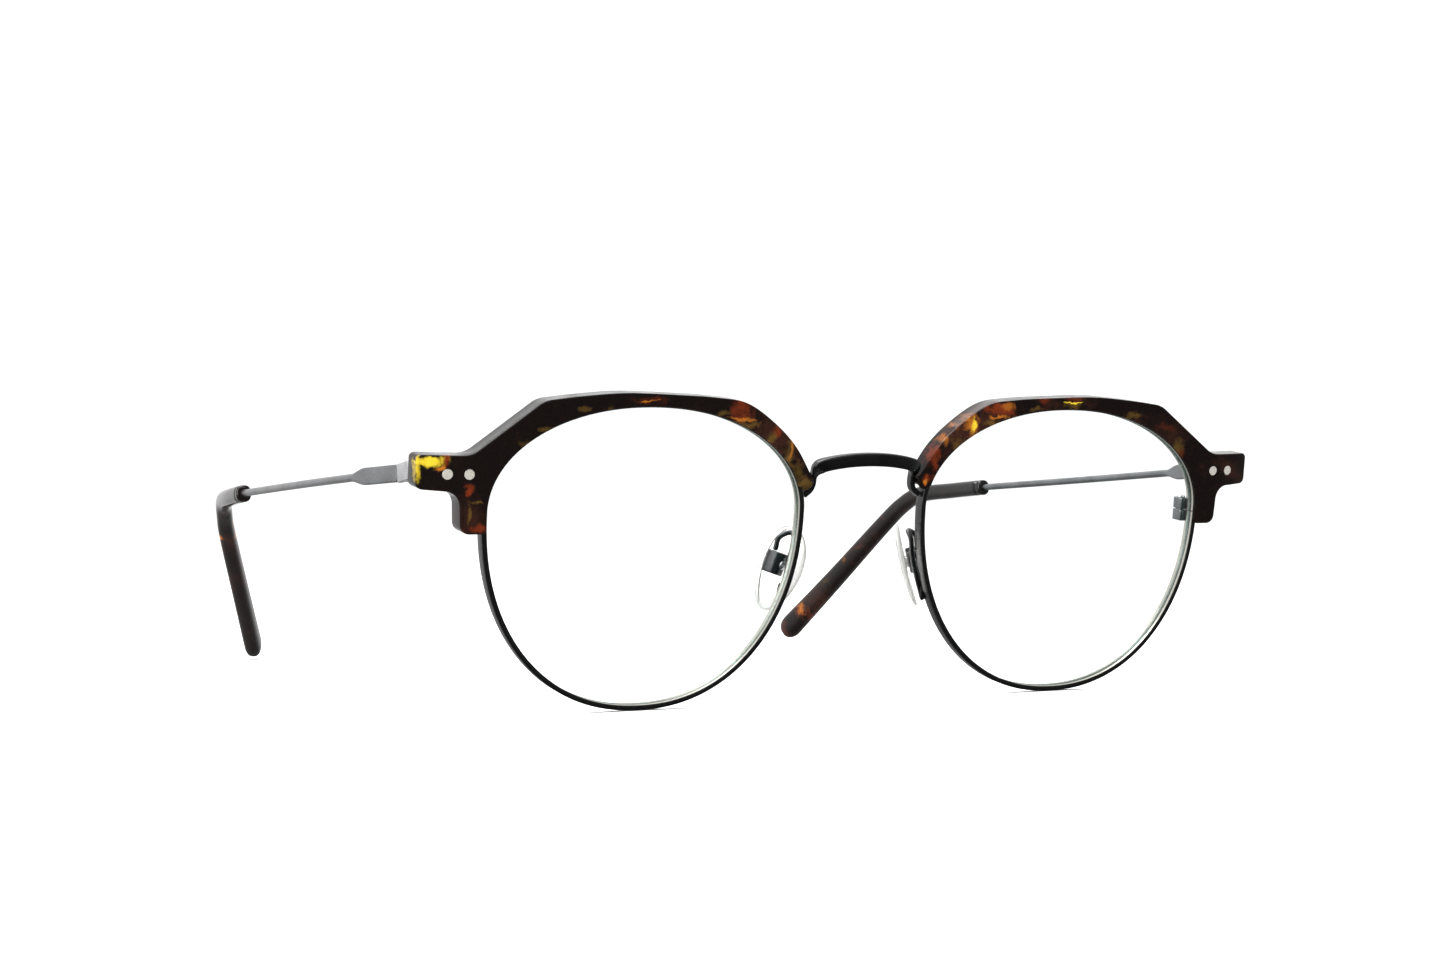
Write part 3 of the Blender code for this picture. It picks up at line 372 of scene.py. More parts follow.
def skin(rings):
    """Quads over a grid of rings, with one flat face over each end.

    Point (i, j) is ring i at step j. Each quad joins steps j and j + 1 of rings i and i + 1.
    """
    stations, around = rings.shape[:2]
    first = np.arange(stations - 1)[:, None] * around
    step = np.arange(around)[None]
    following = (step + 1) % around
    quads = np.stack(
        [first + step, first + following, first + around + following, first + around + step],
        axis=-1,
    )
    faces = quads.reshape(-1, 4).tolist()
    faces.append(list(range(around))[::-1])
    faces.append(list(range((stations - 1) * around, stations * around)))
    return rings.reshape(-1, 3), faces


def carried(path, sections, up):
    """A section carried along a path: point = path + across * side + upward * height.

    across is the path's direction crossed with up, and upward is square to both.
    """
    along = np.gradient(path, axis=0)
    along /= np.linalg.norm(along, axis=1, keepdims=True)
    across = np.cross(along, np.asarray(up, float))
    across /= np.linalg.norm(across, axis=1, keepdims=True)
    upward = np.cross(across, along)
    sections = np.broadcast_to(sections, (len(path), *np.shape(sections)[-2:]))
    return (
        path[:, None]
        + across[:, None] * sections[..., :1]
        + upward[:, None] * sections[..., 1:]
    )


def with_round_ends(rings, radius, steps=5):
    """Adds rings past both ends whose size falls and whose place moves on as a quarter circle."""
    added = []
    turn = np.linspace(0, math.pi / 2 * 0.97, steps + 1)[1:, None, None]
    for end, inner in ((rings[0], rings[1]), (rings[-1], rings[-2])):
        middle = end.mean(axis=0)
        outwards = middle - inner.mean(axis=0)
        outwards /= np.linalg.norm(outwards)
        reach = np.linalg.norm(end - middle, axis=-1).min()
        shrink = 1 - radius * (1 - np.cos(turn)) / reach
        added.append(middle + (end - middle) * shrink + outwards * radius * np.sin(turn))
    return np.concatenate([added[0][::-1], rings, added[1]])


def prism(outline, low, high, rounding, steps=4):
    """An outline between two levels, with its end edges rounded by drawing the outline in.

    At turn t of the rounding the inset is r (1 - sin t) and the level is r (1 - cos t) from the
    end, for t from 0 to a quarter turn. A smaller ring closes each end.
    """
    turn = np.linspace(0, math.pi / 2, steps + 1)
    insets = rounding * (1 - np.sin(turn))
    levels = rounding * (1 - np.cos(turn))
    rows = [(low, rounding + 0.1)]
    rows += zip(low + levels, insets)
    rows += zip(high - levels[::-1], insets[::-1])
    rows += [(high, rounding + 0.1)]
    rings = [np.insert(drawn_in(outline, inset), 2, level, axis=1) for level, inset in rows]
    return np.array(rings)


def turned(stations):
    """A profile of (height, radius) spun about the up axis."""
    stations = np.asarray(stations, float)
    flat = stations[:, 1, None, None] * round_section(1.0, 40)
    height = np.broadcast_to(stations[:, 0, None, None], (*flat.shape[:2], 1))
    return np.concatenate([flat, height], axis=-1)


def shaft_rings(low, high, radius):
    """A plain round shaft about the up axis."""
    return turned([(low, AXIS_R), (low, radius), (high, radius), (high, AXIS_R)])


def head_profile(base, height, radius, sink):
    """Stations of a rivet head: a straight skirt, a rounded shoulder and a low dome."""
    shoulder = min(0.5 * height, 0.22 * radius)
    turn = np.linspace(0, math.pi / 2, 6)
    out = radius - shoulder * (1 - np.cos(turn))
    up = height - shoulder * (1 - np.sin(turn)) - 0.03 * radius
    dome = np.linspace(0.8, 0.02, 6)
    skirt = [(base - sink, radius)]
    stations = skirt + [(base + u, r) for u, r in zip(up, out)]
    crown = (radius - shoulder) * dome
    stations += [(base + height - 0.03 * radius * d**2, r) for d, r in zip(dome, crown)]
    return stations


def slotted_head(base, height, radius, slot_width, slot_depth):
    """A screw head drawn as chords across its slot.

    The chord at x is 2 sqrt(r^2 - x^2) long, and its top is the dome's height, less the slot's
    depth where |x| is under half the slot's width. Two chords stand at each wall of the slot.
    """
    wall = slot_width / 2
    outer = radius * np.sin(np.linspace(math.asin(wall / radius), math.radians(86), 12))
    x = np.concatenate([-outer[::-1], [-wall + 0.005, 0, wall - 0.005], outer])
    chord = np.sqrt(radius**2 - x**2)
    share = np.concatenate([[-1], -np.cos(np.linspace(0.15, math.pi - 0.15, 15)), [1]])
    y = chord[:, None] * share[None]
    away = np.hypot(x[:, None], y) / radius
    top = base + height * (1 - 0.55 * away**6)
    cut = (np.abs(x) < wall)[:, None]
    top = np.where(cut, base + height - slot_depth, top)
    upper = np.stack([np.broadcast_to(x[:, None], y.shape), y, top], axis=-1)
    lower = upper[:, ::-1].copy()
    lower[..., 2] = base
    return np.concatenate([upper, lower], axis=1)


# ---------------------------------------------------------------- pieces


def make_piece(name, shells, finish, body, side=1, replaces=(), sharp=35, values=None):
    """One object from closed shells in millimetres, mirrored in X on the left side."""
    points = []
    faces = []
    for shell_points, shell_faces in shells:
        offset = sum(len(p) for p in points)
        points.append(shell_points)
        faces += [[corner + offset for corner in face] for face in shell_faces]
    points = np.vstack(points) * MM * np.array((side, 1, 1))
    mesh = bpy.data.meshes.new(name)
    mesh.from_pydata(points.tolist(), [], faces)
    for key, numbers in (values or {}).items():
        mesh.attributes.new(key, "FLOAT", "POINT").data.foreach_set("value", numbers)
    tool = bmesh.new()
    tool.from_mesh(mesh)
    bmesh.ops.recalc_face_normals(tool, faces=tool.faces)
    tool.to_mesh(mesh)
    tool.free()
    mesh.shade_smooth()
    mesh.set_sharp_from_angle(angle=math.radians(sharp))
    mesh.materials.append(finish)
    piece = bpy.data.objects.new(name, mesh)
    bpy.context.scene.collection.objects.link(piece)
    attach(piece, body)
    if replaces:
        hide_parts(*replaces)


def side_name(side):
    return "right" if side > 0 else "left"


def make_sides(*rows):
    """The piece of each row on the right and on the left, which {} in a name stands for.

    A row is (name, shells, finish, body, slot), then the node that the piece replaces and the
    values at its points, where it has them. The slot is not used.
    """
    for side in (1, -1):
        label = side_name(side)
        for name, shells, finish, body, slot, *more in rows:
            node, values = (*more, None, None)[:2]
            nodes = [node.format(label)] if node else ()
            make_piece(
                name.format(label), shells, finish, body.format(label), side, nodes,
                values=values,
            )


# ---------------------------------------------------------------- material tools


def set_inputs(tree, node, inputs):
    """Each input linked to a socket or set to a value."""
    for key, value in inputs.items():
        if isinstance(value, bpy.types.NodeSocket):
            tree.links.new(value, node.inputs[key])
        else:
            node.inputs[key].default_value = value


def add_node(tree, kind, inputs=None, **settings):
    """A node with its settings and its inputs."""
    node = tree.nodes.new(kind)
    for key, value in settings.items():
        setattr(node, key, value)
    set_inputs(tree, node, inputs or {})
    return node


def maths(tree, operation, *values):
    """The result of one or two numbers."""
    inputs = dict(enumerate(values))
    return add_node(tree, "ShaderNodeMath", inputs, operation=operation).outputs[0]


def vector_maths(tree, operation, first, second):
    """The result of a vector with another, or with a number where it is scaled."""
    inputs = {0: first, "Scale" if operation == "SCALE" else 1: second}
    return add_node(tree, "ShaderNodeVectorMath", inputs, operation=operation).outputs[0]


def attribute(tree, name):
    return add_node(tree, "ShaderNodeAttribute", attribute_name=name).outputs["Fac"]


def new_finish(name):
    """A material, its node tree and its Principled shader."""
    finish = bpy.data.materials.new(name)
    finish.use_nodes = True
    return finish, finish.node_tree, finish.node_tree.nodes["Principled BSDF"]


def place_in_mm(tree):
    """Object coordinates in millimetres."""
    place = add_node(tree, "ShaderNodeTexCoord").outputs["Object"]
    return vector_maths(tree, "SCALE", place, 1 / MM)


def noise(tree, place, scale, detail=3.0, roughness=0.55, output=0):
    return add_node(
        tree, "ShaderNodeTexNoise",
        {"Vector": place, "Scale": scale, "Detail": detail, "Roughness": roughness},
    ).outputs[output]


def ranged(tree, value, low, high, to_low, to_high, kind="SMOOTHSTEP"):
    return add_node(
        tree, "ShaderNodeMapRange",
        {"Value": value, "From Min": low, "From Max": high, "To Min": to_low, "To Max": to_high},
        interpolation_type=kind,
    ).outputs[0]


def scaled(colour, share):
    return [channel * share for channel in colour]


def mixed(tree, share, first, second):
    """A colour between two, each a socket or an (r, g, b)."""
    full = [v if isinstance(v, bpy.types.NodeSocket) else (*v, 1.0) for v in (first, second)]
    return add_node(
        tree, "ShaderNodeMix", {"Factor": share, 6: full[0], 7: full[1]}, data_type="RGBA"
    ).outputs[2]


def bumped(tree, height, strength, distance):
    return add_node(
        tree, "ShaderNodeBump", {"Height": height, "Strength": strength, "Distance": distance}
    ).outputs["Normal"]


# ---------------------------------------------------------------- finishes


def metal_finish(name, colour, roughness, grain, painted_sheen=None):
    """Brushed or coated metal: grain lines along Y, faint stains, and an inner face and edges
    that are painted lighter where the piece carries the attributes for them: a painted
    reflection in silver on the inner face, and painted highlights in patches along the edges."""
    finish, tree, shader = new_finish(name)
    place = place_in_mm(tree)
    stretched = add_node(
        tree, "ShaderNodeMapping", {"Vector": place, "Scale": (9.0, 0.5, 9.0)}
    ).outputs[0]
    lines = noise(tree, stretched, 1.0, detail=2.0)
    stain = noise(tree, place, 0.22, detail=4.0)
    base = mixed(tree, ranged(tree, lines, 0.3, 0.7, 0.0, 1.0), colour, scaled(colour, 1.25))
    base = vector_maths(tree, "SCALE", base, ranged(tree, stain, 0.3, 0.7, 0.82, 1.12))
    if painted_sheen is not None:
        # Painted highlight: the edges turn a dim silver, in patches.
        patchy = ranged(tree, noise(tree, place, 1.6), 0.35, 0.7, 0.1, 0.65)
        edge_highlight_share = maths(tree, "MULTIPLY", attribute(tree, "rub"), patchy)
        base = mixed(tree, edge_highlight_share, base, scaled(painted_sheen, 0.35))
        # Painted reflection: the inner face takes the silver colour.
        base = mixed(tree, attribute(tree, "inner"), base, painted_sheen)
    rough = ranged(tree, lines, 0.25, 0.75, roughness * 0.8, roughness * 1.25, "LINEAR")
    set_inputs(tree, shader, {
        "Base Color": base, "Metallic": 1.0, "Roughness": rough,
        "Normal": bumped(tree, lines, grain, 0.00002),
    })
    return finish


def turned_finish(name, colour, roughness):
    """Turned bright metal: fine rings that follow the distance from the head's axis."""
    finish, tree, shader = new_finish(name)
    rings = maths(tree, "SINE", maths(tree, "MULTIPLY", attribute(tree, "turn"), 38.0))
    specks = noise(tree, place_in_mm(tree), 5.0, detail=4.0)
    tone = ranged(tree, specks, 0.35, 0.65, 0.0, 1.0)
    set_inputs(tree, shader, {
        "Base Color": mixed(tree, tone, scaled(colour, 0.72), colour), "Metallic": 0.45,
        "Roughness": ranged(tree, specks, 0.3, 0.7, roughness * 0.8, roughness * 1.3),
        "Normal": bumped(tree, rings, 0.35, 0.00002),
    })
    return finish


def acetate_finish(name, settings, patches, gloss):
    """Polished tortoiseshell: dark brown clouds with patches of red, olive, amber and yellow.

    Each patch is an ellipsoid: the share is a smooth step of |(place - centre) / radii|, where
    place is pushed about by noise and the step's edge is broken by streaks. Every tone lets a
    share of the light through, the amber and yellow ones most.
    """
    finish, tree, shader = new_finish(name)
    tones = {
        "brown": scaled(settings.brown, 1.6), "red": settings.red, "olive": settings.olive,
        "amber": settings.amber, "yellow": settings.yellow,
    }
    clearness = {"brown": 0.03, "red": 0.05, "olive": 0.08, "amber": 0.2, "yellow": 0.25}
    place = place_in_mm(tree)
    swirl = noise(tree, place, 0.42, output="Color")
    centred = vector_maths(tree, "SUBTRACT", swirl, (0.5, 0.5, 0.5))
    pushed = vector_maths(tree, "ADD", place, vector_maths(tree, "SCALE", centred, 2.2))
    cloud = noise(tree, pushed, 0.16, detail=4.0, roughness=0.6)
    streaks = noise(tree, pushed, 0.9, roughness=0.65)
    colour = mixed(tree, ranged(tree, cloud, 0.52, 0.8, 0.0, 1.0), settings.dark, settings.brown)
    fleck = ranged(tree, streaks, 0.62, 0.85, 0.0, 0.12)
    colour = mixed(tree, fleck, colour, settings.red)
    broken = ranged(tree, streaks, 0.3, 0.7, -0.32, 0.3)
    see_through = 0.0
    for centre, radii, tone, amount in patches:
        local = add_node(
            tree, "ShaderNodeMapping",
            {"Vector": pushed, "Location": tuple(centre), "Scale": tuple(radii)},
            vector_type="TEXTURE",
        ).outputs[0]
        far = add_node(tree, "ShaderNodeVectorMath", {0: local}, operation="LENGTH").outputs[1]
        share = ranged(tree, maths(tree, "SUBTRACT", far, broken), 1.35, 0.2, 0.0, amount)
        colour = mixed(tree, share, colour, tones[tone])
        clear = maths(tree, "MULTIPLY", share, clearness[tone])
        see_through = maths(tree, "MAXIMUM", clear, see_through)
    smear = noise(tree, place, 0.35, detail=4.0)
    set_inputs(tree, shader, {
        "Base Color": colour, "Transmission Weight": see_through, "IOR": 1.42,
        "Specular IOR Level": gloss, "Roughness": ranged(tree, smear, 0.35, 0.7, 0.05, 0.13),
        "Normal": bumped(tree, noise(tree, place, 0.8, detail=1.0), 0.05, 0.00005),
    })
    return finish


def lens_finish(settings):
    """Clear lens with a reflection-cutting coat: see-through, and mirrored more at a slant, where
    the share is m + (0.6 - m) (1 - cos angle)^5."""
    finish, tree, shader = new_finish("clear_lens")
    tree.nodes.remove(shader)
    clear = add_node(tree, "ShaderNodeBsdfTransparent", {"Color": (*settings.tint, 1.0)})
    smear = noise(tree, place_in_mm(tree), 0.12)
    gloss = add_node(
        tree, "ShaderNodeBsdfGlossy",
        {"Color": LENS_COAT, "Roughness": ranged(tree, smear, 0.3, 0.7, 0.01, 0.05)},
    )
    slant = add_node(tree, "ShaderNodeLayerWeight", {"Blend": 0.5}).outputs["Facing"]
    rise = maths(tree, "POWER", slant, 5.0)
    facing = ranged(tree, rise, 0.0, 1.0, settings.mirror, SLANT_MIRROR, "LINEAR")
    both = add_node(
        tree, "ShaderNodeMixShader", {0: facing, 1: clear.outputs[0], 2: gloss.outputs[0]}
    )
    output = next(n for n in tree.nodes if n.type == "OUTPUT_MATERIAL")
    tree.links.new(both.outputs[0], output.inputs["Surface"])
    return finish


def pad_finish():
    """Clear soft pad: milky bands, and a painted grey shade on its rim, where light has the pad's
    width to cross.
    """
    finish, tree, shader = new_finish("clear_pad")
    place = place_in_mm(tree)
    milk = noise(tree, place, 0.5, detail=2.0)
    # Painted shade: the rim is greyed and made less clear.
    rim = attribute(tree, "rim")
    clear = ranged(tree, milk, 0.3, 0.7, 0.95, 0.88)
    colour = mixed(tree, milk, (0.99, 0.985, 0.97), (0.96, 0.94, 0.9))
    set_inputs(tree, shader, {
        "Base Color": mixed(tree, rim, colour, (0.36, 0.36, 0.35)), "IOR": 1.3,
        "Transmission Weight": maths(tree, "SUBTRACT", clear, maths(tree, "MULTIPLY", rim, 0.75)),
        "Roughness": ranged(tree, noise(tree, place, 2.0), 0.3, 0.7, 0.04, 0.12),
    })
    return finish


def floor_finish(settings):
    """Matte paper with a faint even tooth."""
    finish, tree, shader = new_finish("studio_paper")
    tooth = noise(tree, place_in_mm(tree), 0.05)
    set_inputs(tree, shader, {
        "Base Color": mixed(tree, tooth, settings.floor, scaled(settings.floor, 0.985)),
        "Roughness": 0.9, "Specular IOR Level": 0.1,
    })
    return finish


def finish_named(name, make, *details):
    """The finish of that name, made the first time it is asked for."""
    return bpy.data.materials.get(name) or make(name, *details)


def black_metal(settings):
    # The silver is the colour of the painted reflection on the inner face and of the painted
    # highlights on the edges.
    return finish_named(
        "black_coat", metal_finish, tuple(settings.black), 0.3, 0.12, tuple(settings.silver)
    )


def gunmetal(settings):
    return finish_named("brushed_gunmetal", metal_finish, tuple(settings.gunmetal), 0.3, 0.25)


def pale_gunmetal(settings):
    return finish_named("pale_gunmetal", metal_finish, tuple(settings.pale), 0.34, 0.25)


def bright_metal(settings):
    return finish_named("turned_silver", turned_finish, tuple(settings.silver), 0.34)


# ---------------------------------------------------------------- settings


def colour_property(name, description, default):
    return FloatVectorProperty(
        name=name, description=description, default=default, subtype="COLOR", min=0, max=1
    )


class EyeglassMetal(bpy.types.PropertyGroup):
    black: colour_property("Black coat", "Coating on eyewires and bridge", (0.06, 0.06, 0.062))
    gunmetal: colour_property("Gunmetal", "Temples, hinges and pad arms", (0.2, 0.203, 0.21))
    pale: colour_property("Pale gunmetal", "End strips beside the brows", (0.5, 0.5, 0.51))
    # Silver also paints the reflection on the eyewires' inner faces and the highlights along their
    # edges.
    silver: colour_property("Silver", "Rivets, screws and bare metal", (0.6, 0.57, 0.51))


class EyeglassAcetate(bpy.types.PropertyGroup):
    dark: colour_property("Dark", "Ground colour", (0.0045, 0.003, 0.0027))
    brown: colour_property("Brown", "Clouds in the ground", (0.022, 0.008, 0.005))
    red: colour_property("Red", "Red-brown patches", (0.115, 0.018, 0.005))
    olive: colour_property("Olive", "Olive gold patches", (0.08, 0.045, 0.01))
    amber: colour_property("Amber", "Orange amber patches", (0.38, 0.12, 0.012))
    yellow: colour_property("Yellow", "Clear yellow patches", (0.76, 0.55, 0.03))
    gloss: FloatProperty(
        name="Gloss", description="Strength of the polish's reflection", default=0.15, min=0, max=1
    )
    tip_gloss: FloatProperty(
        name="Tip gloss", description="Strength of the tips' reflection", default=0.55, min=0, max=1
    )
    front_rounding: FloatProperty(
        name="Front rounding", description="Radius of the brow's front edges", default=0.0003,
        min=0.0001, max=0.0004, unit="LENGTH",
    )
    rear_rounding: FloatProperty(
        name="Rear rounding", description="Radius of the brow's rear edges", default=0.0004,
        min=0.0002, max=0.0007, unit="LENGTH",
    )


class EyeglassLens(bpy.types.PropertyGroup):
    tint: colour_property("Tint", "What one face of the lens lets through", (0.98, 0.99, 0.988))
    mirror: FloatProperty(
        name="Mirror", description="Share of light that a face mirrors straight on", default=0.025,
        min=0, max=0.2, subtype="FACTOR",
    )


class EyeglassStudio(bpy.types.PropertyGroup):
    floor: colour_property("Floor", "Paper that the glasses stand on", (0.97, 0.97, 0.965))
    surround: FloatProperty(
        name="Surround", description="Strength of the white surround", default=1.18, min=0, max=5
    )
    ahead: FloatProperty(
        name="Ahead", description="What gloss sees of the room ahead of the glasses",
        default=0.16, min=0, max=2,
    )
    key: FloatProperty(
        name="Key light", description="Power of the large light above", default=7.0, min=0,
        subtype="POWER", unit="POWER",
    )


class EyeglassSettings(bpy.types.PropertyGroup):
    metal: PointerProperty(type=EyeglassMetal)
    acetate: PointerProperty(type=EyeglassAcetate)
    lens: PointerProperty(type=EyeglassLens)
    studio: PointerProperty(type=EyeglassStudio)


# ---------------------------------------------------------------- eyewires and lenses


def eyewire_rings():
    """The wire's section carried round the lens edge, from one side of the slit to the other."""
    half = GROOVE_WIDTH / 2
    middle = WIRE_DEPTH / 2
    section = rounded_corners([
        (0, 0, 0.12), (WIRE_RADIAL, 0, 0.2), (WIRE_RADIAL, WIRE_DEPTH, 0.2), (0, WIRE_DEPTH, 0.12),
        (0, middle + half, 0.06), (GROOVE_DEPTH, middle, 0.06), (0, middle - half, 0.06),
    ], 4)
    start = edge_angle(CLASP_LEVEL + CLASP_SLIT / 2)
    end = edge_angle(CLASP_LEVEL - CLASP_SLIT / 2) + 2 * math.pi
    angles = np.linspace(start, end, 421)
    rings = with_depth(lens_edge(angles[:, None], section[None, :, 0]), section[:, 1])
    # Painted reflection: marks the wire's inner face, which the finish colours silver.
    inner = (section[:, 0] < 0.1) & (section[:, 1] > 0.1)
    # Painted highlight: a share that falls off from the section's corners, where the edges are
    # painted lighter.
    corners = np.array([(WIRE_RADIAL, 0), (WIRE_RADIAL, WIRE_DEPTH), (0, WIRE_DEPTH), (0, 0)])
    away = np.linalg.norm(section[:, None] - corners[None], axis=-1).min(axis=1)
    rub = np.exp(-((away / 0.12) ** 2))
    count = len(angles)
    return rings, {"inner": np.tile(inner.astype(float), count), "rub": np.tile(rub, count)}


def lens_rings():
    """A meniscus: rings are the lens edge scaled by s, set forward by dome (1 - s^2)."""
    share = np.sin(np.linspace(0.012, math.pi / 2, 26)) * 0.985
    middle = WIRE_DEPTH / 2
    half = LENS_THICKNESS / 2
    ridge = GROOVE_DEPTH - FIT_GAP
    ridge_half = GROOVE_WIDTH / 2 * ridge / GROOVE_DEPTH
    front = [(s, middle - half - LENS_DOME * (1 - s**2), -FIT_GAP) for s in share]
    rim = [
        (1, middle - half + 0.06, -FIT_GAP), (1, middle - ridge_half, -FIT_GAP),
        (1, middle, ridge), (1, middle + ridge_half, -FIT_GAP), (1, middle + half - 0.06, -FIT_GAP),
    ]
    back = [(s, middle + half - LENS_DOME * (1 - s**2), -FIT_GAP) for s in share[::-1]]
    rows = np.array(front + rim + back)
    centre = np.array((LENS_CENTRE_X, WIDEST_LINE))
    edge = lens_edge(full_turn(220)[None], rows[:, 2, None])
    return with_depth(centre + (edge - centre) * rows[:, 0, None, None], rows[:, 1, None])


class EYEGLASSES_OT_eyewires(bpy.types.Operator):
    """Add the grooved metal wire round each lens"""

    bl_idname = "eyeglasses.eyewires"
    bl_label = "Eyewires"

    def execute(self, context):
        finish = black_metal(context.scene.eyeglasses.metal)
        rings, values = eyewire_rings()
        shells = [skin(from_front(rings))]
        make_sides(
            ("eyewire_{}_wire", shells, finish, "front", "black_metal", "eyewire_{}", values)
        )
        return {"FINISHED"}


class EYEGLASSES_OT_lenses(bpy.types.Operator):
    """Add the two domed lenses"""

    bl_idname = "eyeglasses.lenses"
    bl_label = "Lenses"

    def execute(self, context):
        finish = lens_finish(context.scene.eyeglasses.lens)
        shells = [skin(from_front(lens_rings()))]
        make_sides(("lens_{}_clear", shells, finish, "front", "lens", "lens_{}"))
        return {"FINISHED"}


# ---------------------------------------------------------------- brows


def brow_outline(set_out):
    """The brow from the front, in one closed line, its lens side set out from the opening.

    Lens side: the lens edge offset by set_out. Then the lug and end block with round corners,
    the slant and top as a Catmull-Rom curve through the widths, and a half circle at the nose.
    """
    lug_angle = edge_angle(LUG_BOTTOM + 1.5 * LUG_CORNER)
    inner = lens_edge(np.linspace(NOSE_ANGLE, lug_angle, 180), set_out)
    lug_outer = lens_edge(lug_angle, LIP_INSET)[0] + LUG_WIDTH
    low = END_MIDDLE - END_HEIGHT / 2
    high = END_MIDDLE + END_HEIGHT / 2
    widths = np.array(BROW_WIDTHS)
    top = smooth_line(lens_edge(np.radians(widths[:, 0]), widths[:, 1]), 18)
    lug = rounded_corners([
        (*inner[-1], 0), (inner[-1, 0], LUG_BOTTOM, LUG_CORNER), (lug_outer, LUG_BOTTOM, 1.4),
        (lug_outer + 0.3, low - 0.35, 2.2), (FRONT_HALF_WIDTH, low, 1.0),
        (FRONT_HALF_WIDTH, high, 0.8), (lug_outer - 1.2, high, 4.0), (*top[0], 4.0), (*top[6], 0),
    ], 10)
    outer_end = top[-1]
    inner_end = inner[0]
    spoke = (outer_end - inner_end) / 2
    turn = np.linspace(0, math.pi, 22)[1:-1, None]
    across = np.array((-spoke[1], spoke[0]))
    cap = (outer_end + inner_end) / 2 + spoke * np.cos(turn) + across * np.sin(turn)
    return np.vstack([inner, lug[1:], top[7:], cap])


def brow_rings(front_rounding, rear_rounding):
    """The outline stacked from front to back: a rounded front lip, the channel for the eyewire
    behind it, and a rounded rear edge."""
    lip = brow_outline(LIP_INSET)
    channel = brow_outline(WIRE_RADIAL + FIT_GAP)
    turn = np.linspace(0, math.pi / 2, 7)
    rings = [with_depth(drawn_in(lip, front_rounding + 0.15), BROW_FRONT)]
    for t in turn:
        ring = drawn_in(lip, front_rounding * (1 - math.sin(t)))
        rings.append(with_depth(ring, BROW_FRONT + front_rounding * (1 - math.cos(t))))
    rings += [with_depth(lip, -FIT_GAP), with_depth(channel, -FIT_GAP)]
    for t in turn[::-1]:
        ring = drawn_in(channel, rear_rounding * (1 - math.sin(t)))
        rings.append(with_depth(ring, BROW_BACK - rear_rounding * (1 - math.cos(t))))
    rings.append(with_depth(drawn_in(channel, rear_rounding + 0.08), BROW_BACK))
    return np.array(rings)


def brow_shell(rings):
    """The stacked rings, cut across into narrow strips past the eyewires and curved back there."""
    points, faces = skin(rings)
    mesh = bpy.data.meshes.new("brow_before_curve")
    mesh.from_pydata(points.tolist(), [], faces)
    tool = bmesh.new()
    tool.from_mesh(mesh)
    for x in np.linspace(CURVE_START, FRONT_HALF_WIDTH, 17)[:-1]:
        parts = [*tool.verts, *tool.edges, *tool.faces]
        bmesh.ops.bisect_plane(tool, geom=parts, dist=1e-4, plane_co=(x, 0, 0), plane_no=(1, 0, 0))
    tool.to_mesh(mesh)
    tool.free()
    points = np.empty(len(mesh.vertices) * 3)
    mesh.vertices.foreach_get("co", points)
    faces = [list(polygon.vertices) for polygon in mesh.polygons]
    bpy.data.meshes.remove(mesh)
    return from_front(curved_back(points.reshape(-1, 3))), faces


def front_patches(rows):
    """Patches given as (across, up, half width, half height, tone, amount) on the brow's face."""
    patches = []
    for across, up, wide, high, tone, amount in rows:
        centre = from_front((across, BROW_FRONT + 0.6, up))
        patches.append((centre, (wide, 2.6, high), tone, amount))
    return patches


